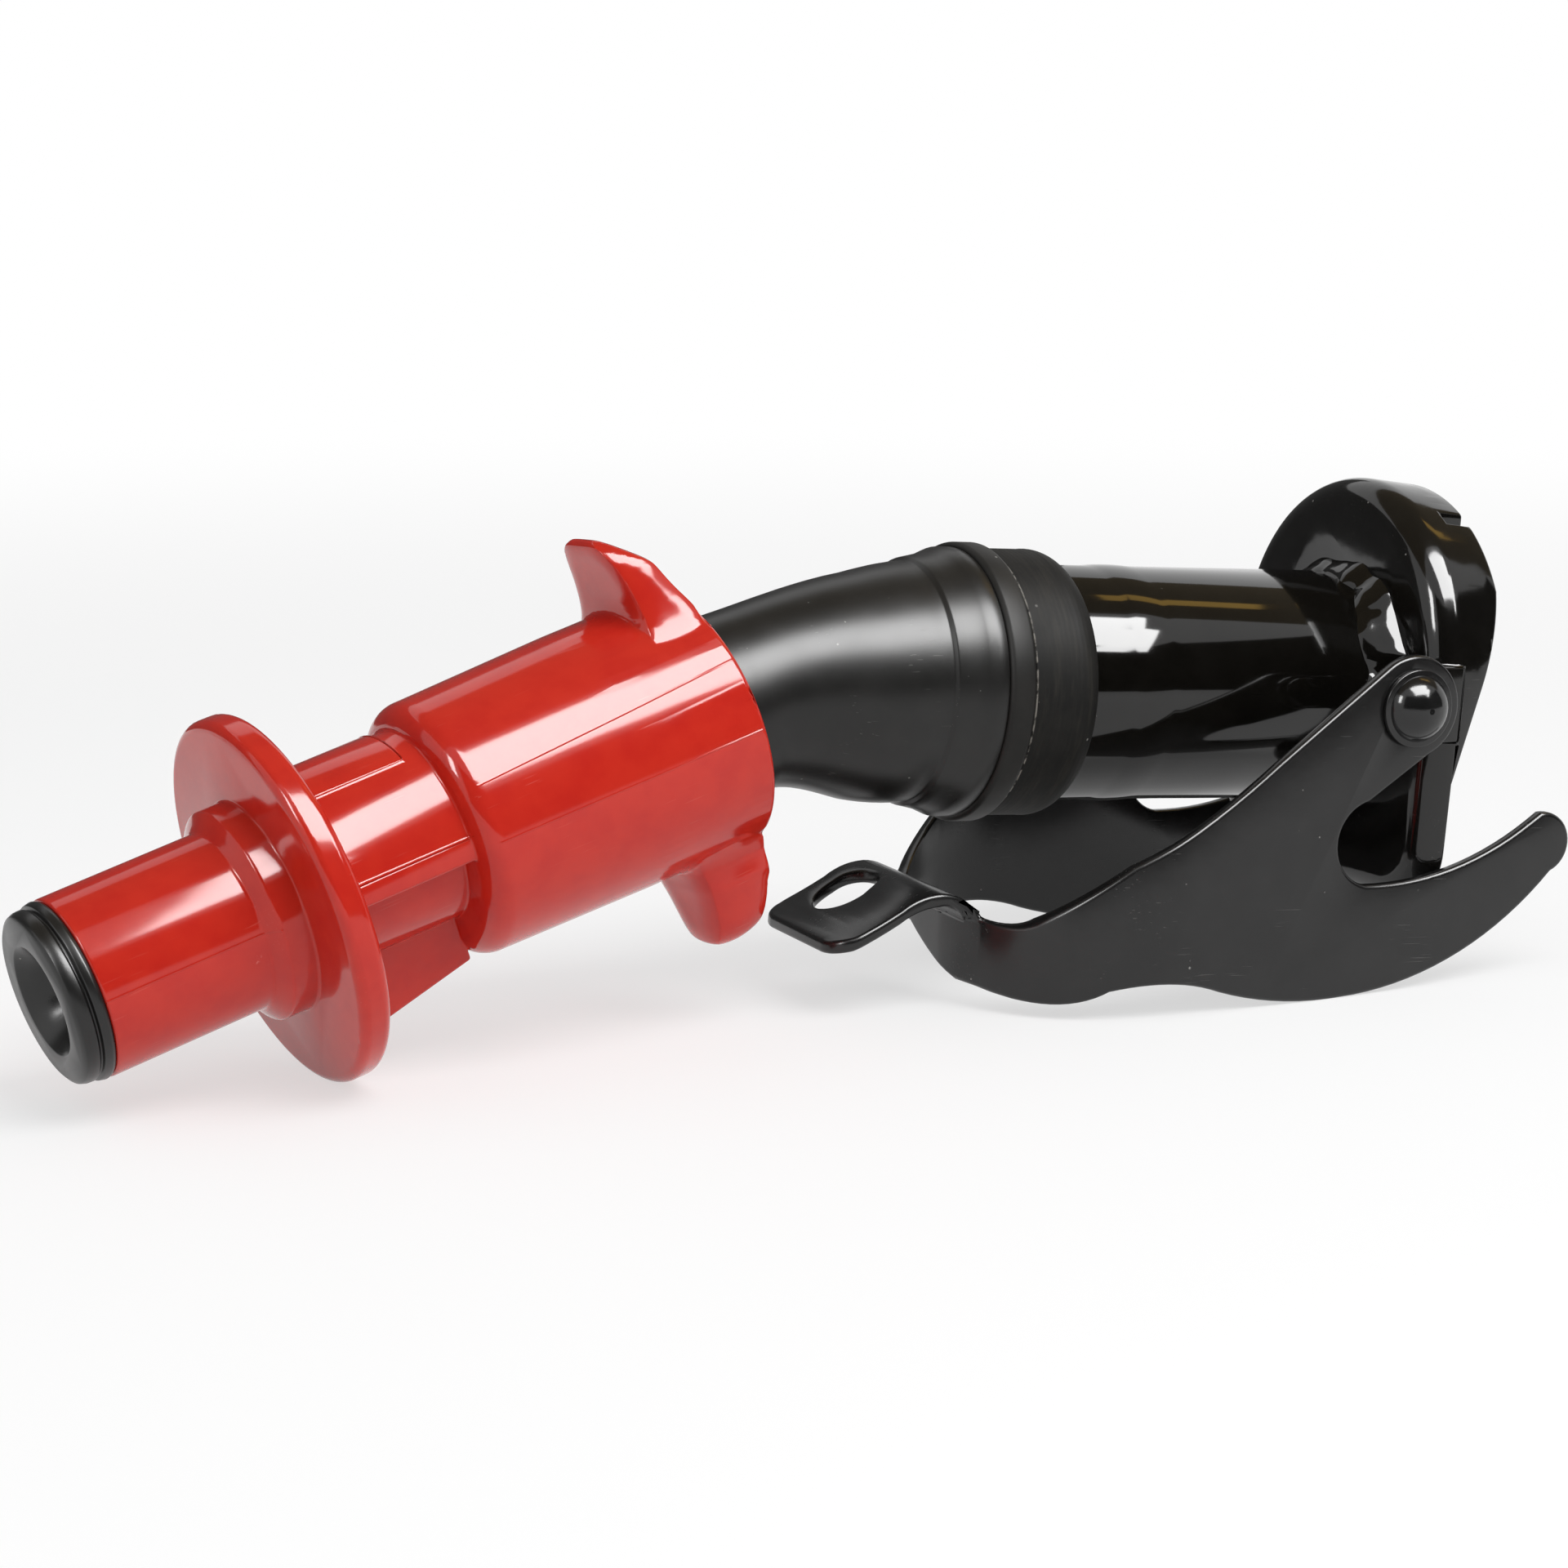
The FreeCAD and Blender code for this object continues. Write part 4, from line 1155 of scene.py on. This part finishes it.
@dataclass
class Studio:
    """Camera, lamps, pale floor and surroundings."""

    eye: Vector
    right: Vector
    up: Vector
    flange_low: Vector
    lever_low: Vector
    lens: float = 90.0
    sensor: float = 36.0
    floor_size: float = 6.0
    floor_glow: float = 0.6
    floor_fade: tuple[float, float] = (0.2, 0.7)
    room_light: float = 0.55
    floor_white: float = 0.93
    soft_radiance: float = 4.5
    glint_radiance: float = 14.5
    glint_lift: float = 0.01

    def camera(self) -> None:
        """Stands the camera where the photograph was taken from."""
        made = bpy.data.cameras.new("photo_camera")
        made.lens = self.lens
        made.sensor_width = self.sensor
        made.clip_start = 0.01
        holder = bpy.data.objects.new("photo_camera", made)
        bpy.context.scene.collection.objects.link(holder)
        back = self.right.cross(self.up).normalized()
        up = back.cross(self.right).normalized()
        turn = Matrix((self.right.normalized(), up, back)).transposed()
        holder.matrix_world = Matrix.Translation(self.eye) @ turn.to_4x4()
        bpy.context.scene.camera = holder

    def floor(self) -> None:
        """Lays the pale floor under the flange and the lever."""
        work = bmesh.new()
        bmesh.ops.create_grid(work, x_segments=2, y_segments=2, size=self.floor_size / 2)
        run = self.lever_low - self.flange_low
        tilt = math.atan2(run.z, run.x)
        turn = Matrix.Rotation(-tilt, 4, "Y")
        bmesh.ops.transform(work, matrix=Matrix.Translation(self.flange_low) @ turn, verts=work.verts)
        mesh = bpy.data.meshes.new("floor")
        work.to_mesh(mesh)
        work.free()
        paint = bpy.data.materials.new("floor_white")
        paint.use_nodes = True
        graph = Graph(paint.node_tree)
        place = graph.node("ShaderNodeTexCoord").outputs["Object"]
        middle = (self.flange_low + self.lever_low) / 2
        away = graph.node("ShaderNodeVectorMath", {"operation": "DISTANCE"}, {0: place, 1: middle})
        far = Signal(graph, away.outputs["Value"]).step(*self.floor_fade)
        share = graph.seen() * (far * (1.0 - self.floor_glow) + self.floor_glow)
        white = (self.floor_white, self.floor_white, self.floor_white, 1.0)
        matte = graph.node("ShaderNodeBsdfDiffuse", None, {"Color": white})
        glow = graph.node("ShaderNodeEmission", None, {"Color": (1.0, 1.0, 1.0, 1.0), "Strength": 1.0})
        both = graph.node("ShaderNodeMixShader", None, {0: share, 1: matte.outputs[0], 2: glow.outputs[0]})
        graph.node("ShaderNodeOutputMaterial", None, {"Surface": both.outputs[0]})
        mesh.materials.append(paint)
        holder = bpy.data.objects.new("floor", mesh)
        bpy.context.scene.collection.objects.link(holder)

    def surroundings(self) -> None:
        """White to the camera and in reflections, softer as a light."""
        world = bpy.data.worlds.new("white_room")
        bpy.context.scene.world = world
        world.use_nodes = True
        graph = Graph(world.node_tree)
        strength = graph.seen() * (1.0 - self.room_light) + self.room_light
        back = graph.node("ShaderNodeBackground", None, {"Color": (1.0, 1.0, 1.0, 1.0), "Strength": strength})
        graph.node("ShaderNodeOutputWorld", None, {"Surface": back.outputs[0]})

    def lamps(self) -> None:
        """Hangs the soft boxes, and the cards that paint dark, grey and warm reflections round them."""
        down = Vector((0.0, 0.0, -1.0))
        for name, place, width, depth in (
            ("key", Vector((0.035, -0.55, 0.8)), 0.73, 0.6),
            ("corner", Vector((0.475, -0.75, 0.8)), 0.15, 0.6),
        ):
            SoftBox(name + "_box", place, place + down, width, depth, self.soft_radiance).build()
            above = place - down * self.glint_lift
            SoftBox(
                name + "_glint", above, above + down, width, depth, self.glint_radiance, glint=True
            ).build()
        SoftBox(
            "left_strip", place=Vector((-1.05, -0.33, 0.5)), aim=Vector((-0.09, 0.0, 0.0)),
            width=0.16, height=0.4, radiance=20.0, glint=True,
        ).build()
        warm = Vector((0.5, 0.1, 0.8))
        SoftBox(
            "warm_glint", place=warm, aim=warm + down, width=0.36, height=0.1,
            radiance=1.8, colour=(1.0, 0.6, 0.12), glint=True,
        ).build()
        # Painted reflections: a black curtain in front, a grey one behind and a faintly warm glowing sheet
        # above, which only reflections see.
        PaintedReflectionCard("front_curtain").curtain(radius=1.3, low=-0.02, high=1.02, start=-58.0, sweep=135.0)
        PaintedReflectionCard("back_curtain", (0.1, 0.1, 0.1)).curtain(
            radius=0.62, low=-0.12, high=0.38, start=155.0, sweep=95.0
        )
        PaintedReflectionCard("ceiling_card", (0.18, 0.145, 0.095)).sheet(Vector((0.1, 0.3, 1.0)), width=3.0, depth=1.06)

    def build(self) -> None:
        """Sets up the whole studio."""
        self.camera()
        self.floor()
        self.surroundings()
        self.lamps()
        bpy.context.scene.view_settings.view_transform = "Standard"
        LOG.info("studio: ready")


def main() -> None:
    """Builds the sub-assemblies in order, then the studio."""
    logging.basicConfig(level=logging.INFO, format="%(name)s: %(message)s")
    for part in (Sleeve(), Valve(), ElbowPart(), ClampHead(), Lever()):
        LOG.info("building %s", type(part).__name__)
        part.build()
    Studio(
        eye=Vector((-0.3047, -0.4417, 0.0679)),
        right=Vector((0.900, -0.429, 0.072)),
        up=Vector((0.006, 0.178, 0.984)),
        flange_low=Vector((-0.150, 0.0, -0.0474)),
        lever_low=Vector((-0.025, 0.0, -0.0375)),
    ).build()


if __name__ == "__main__":
    main()
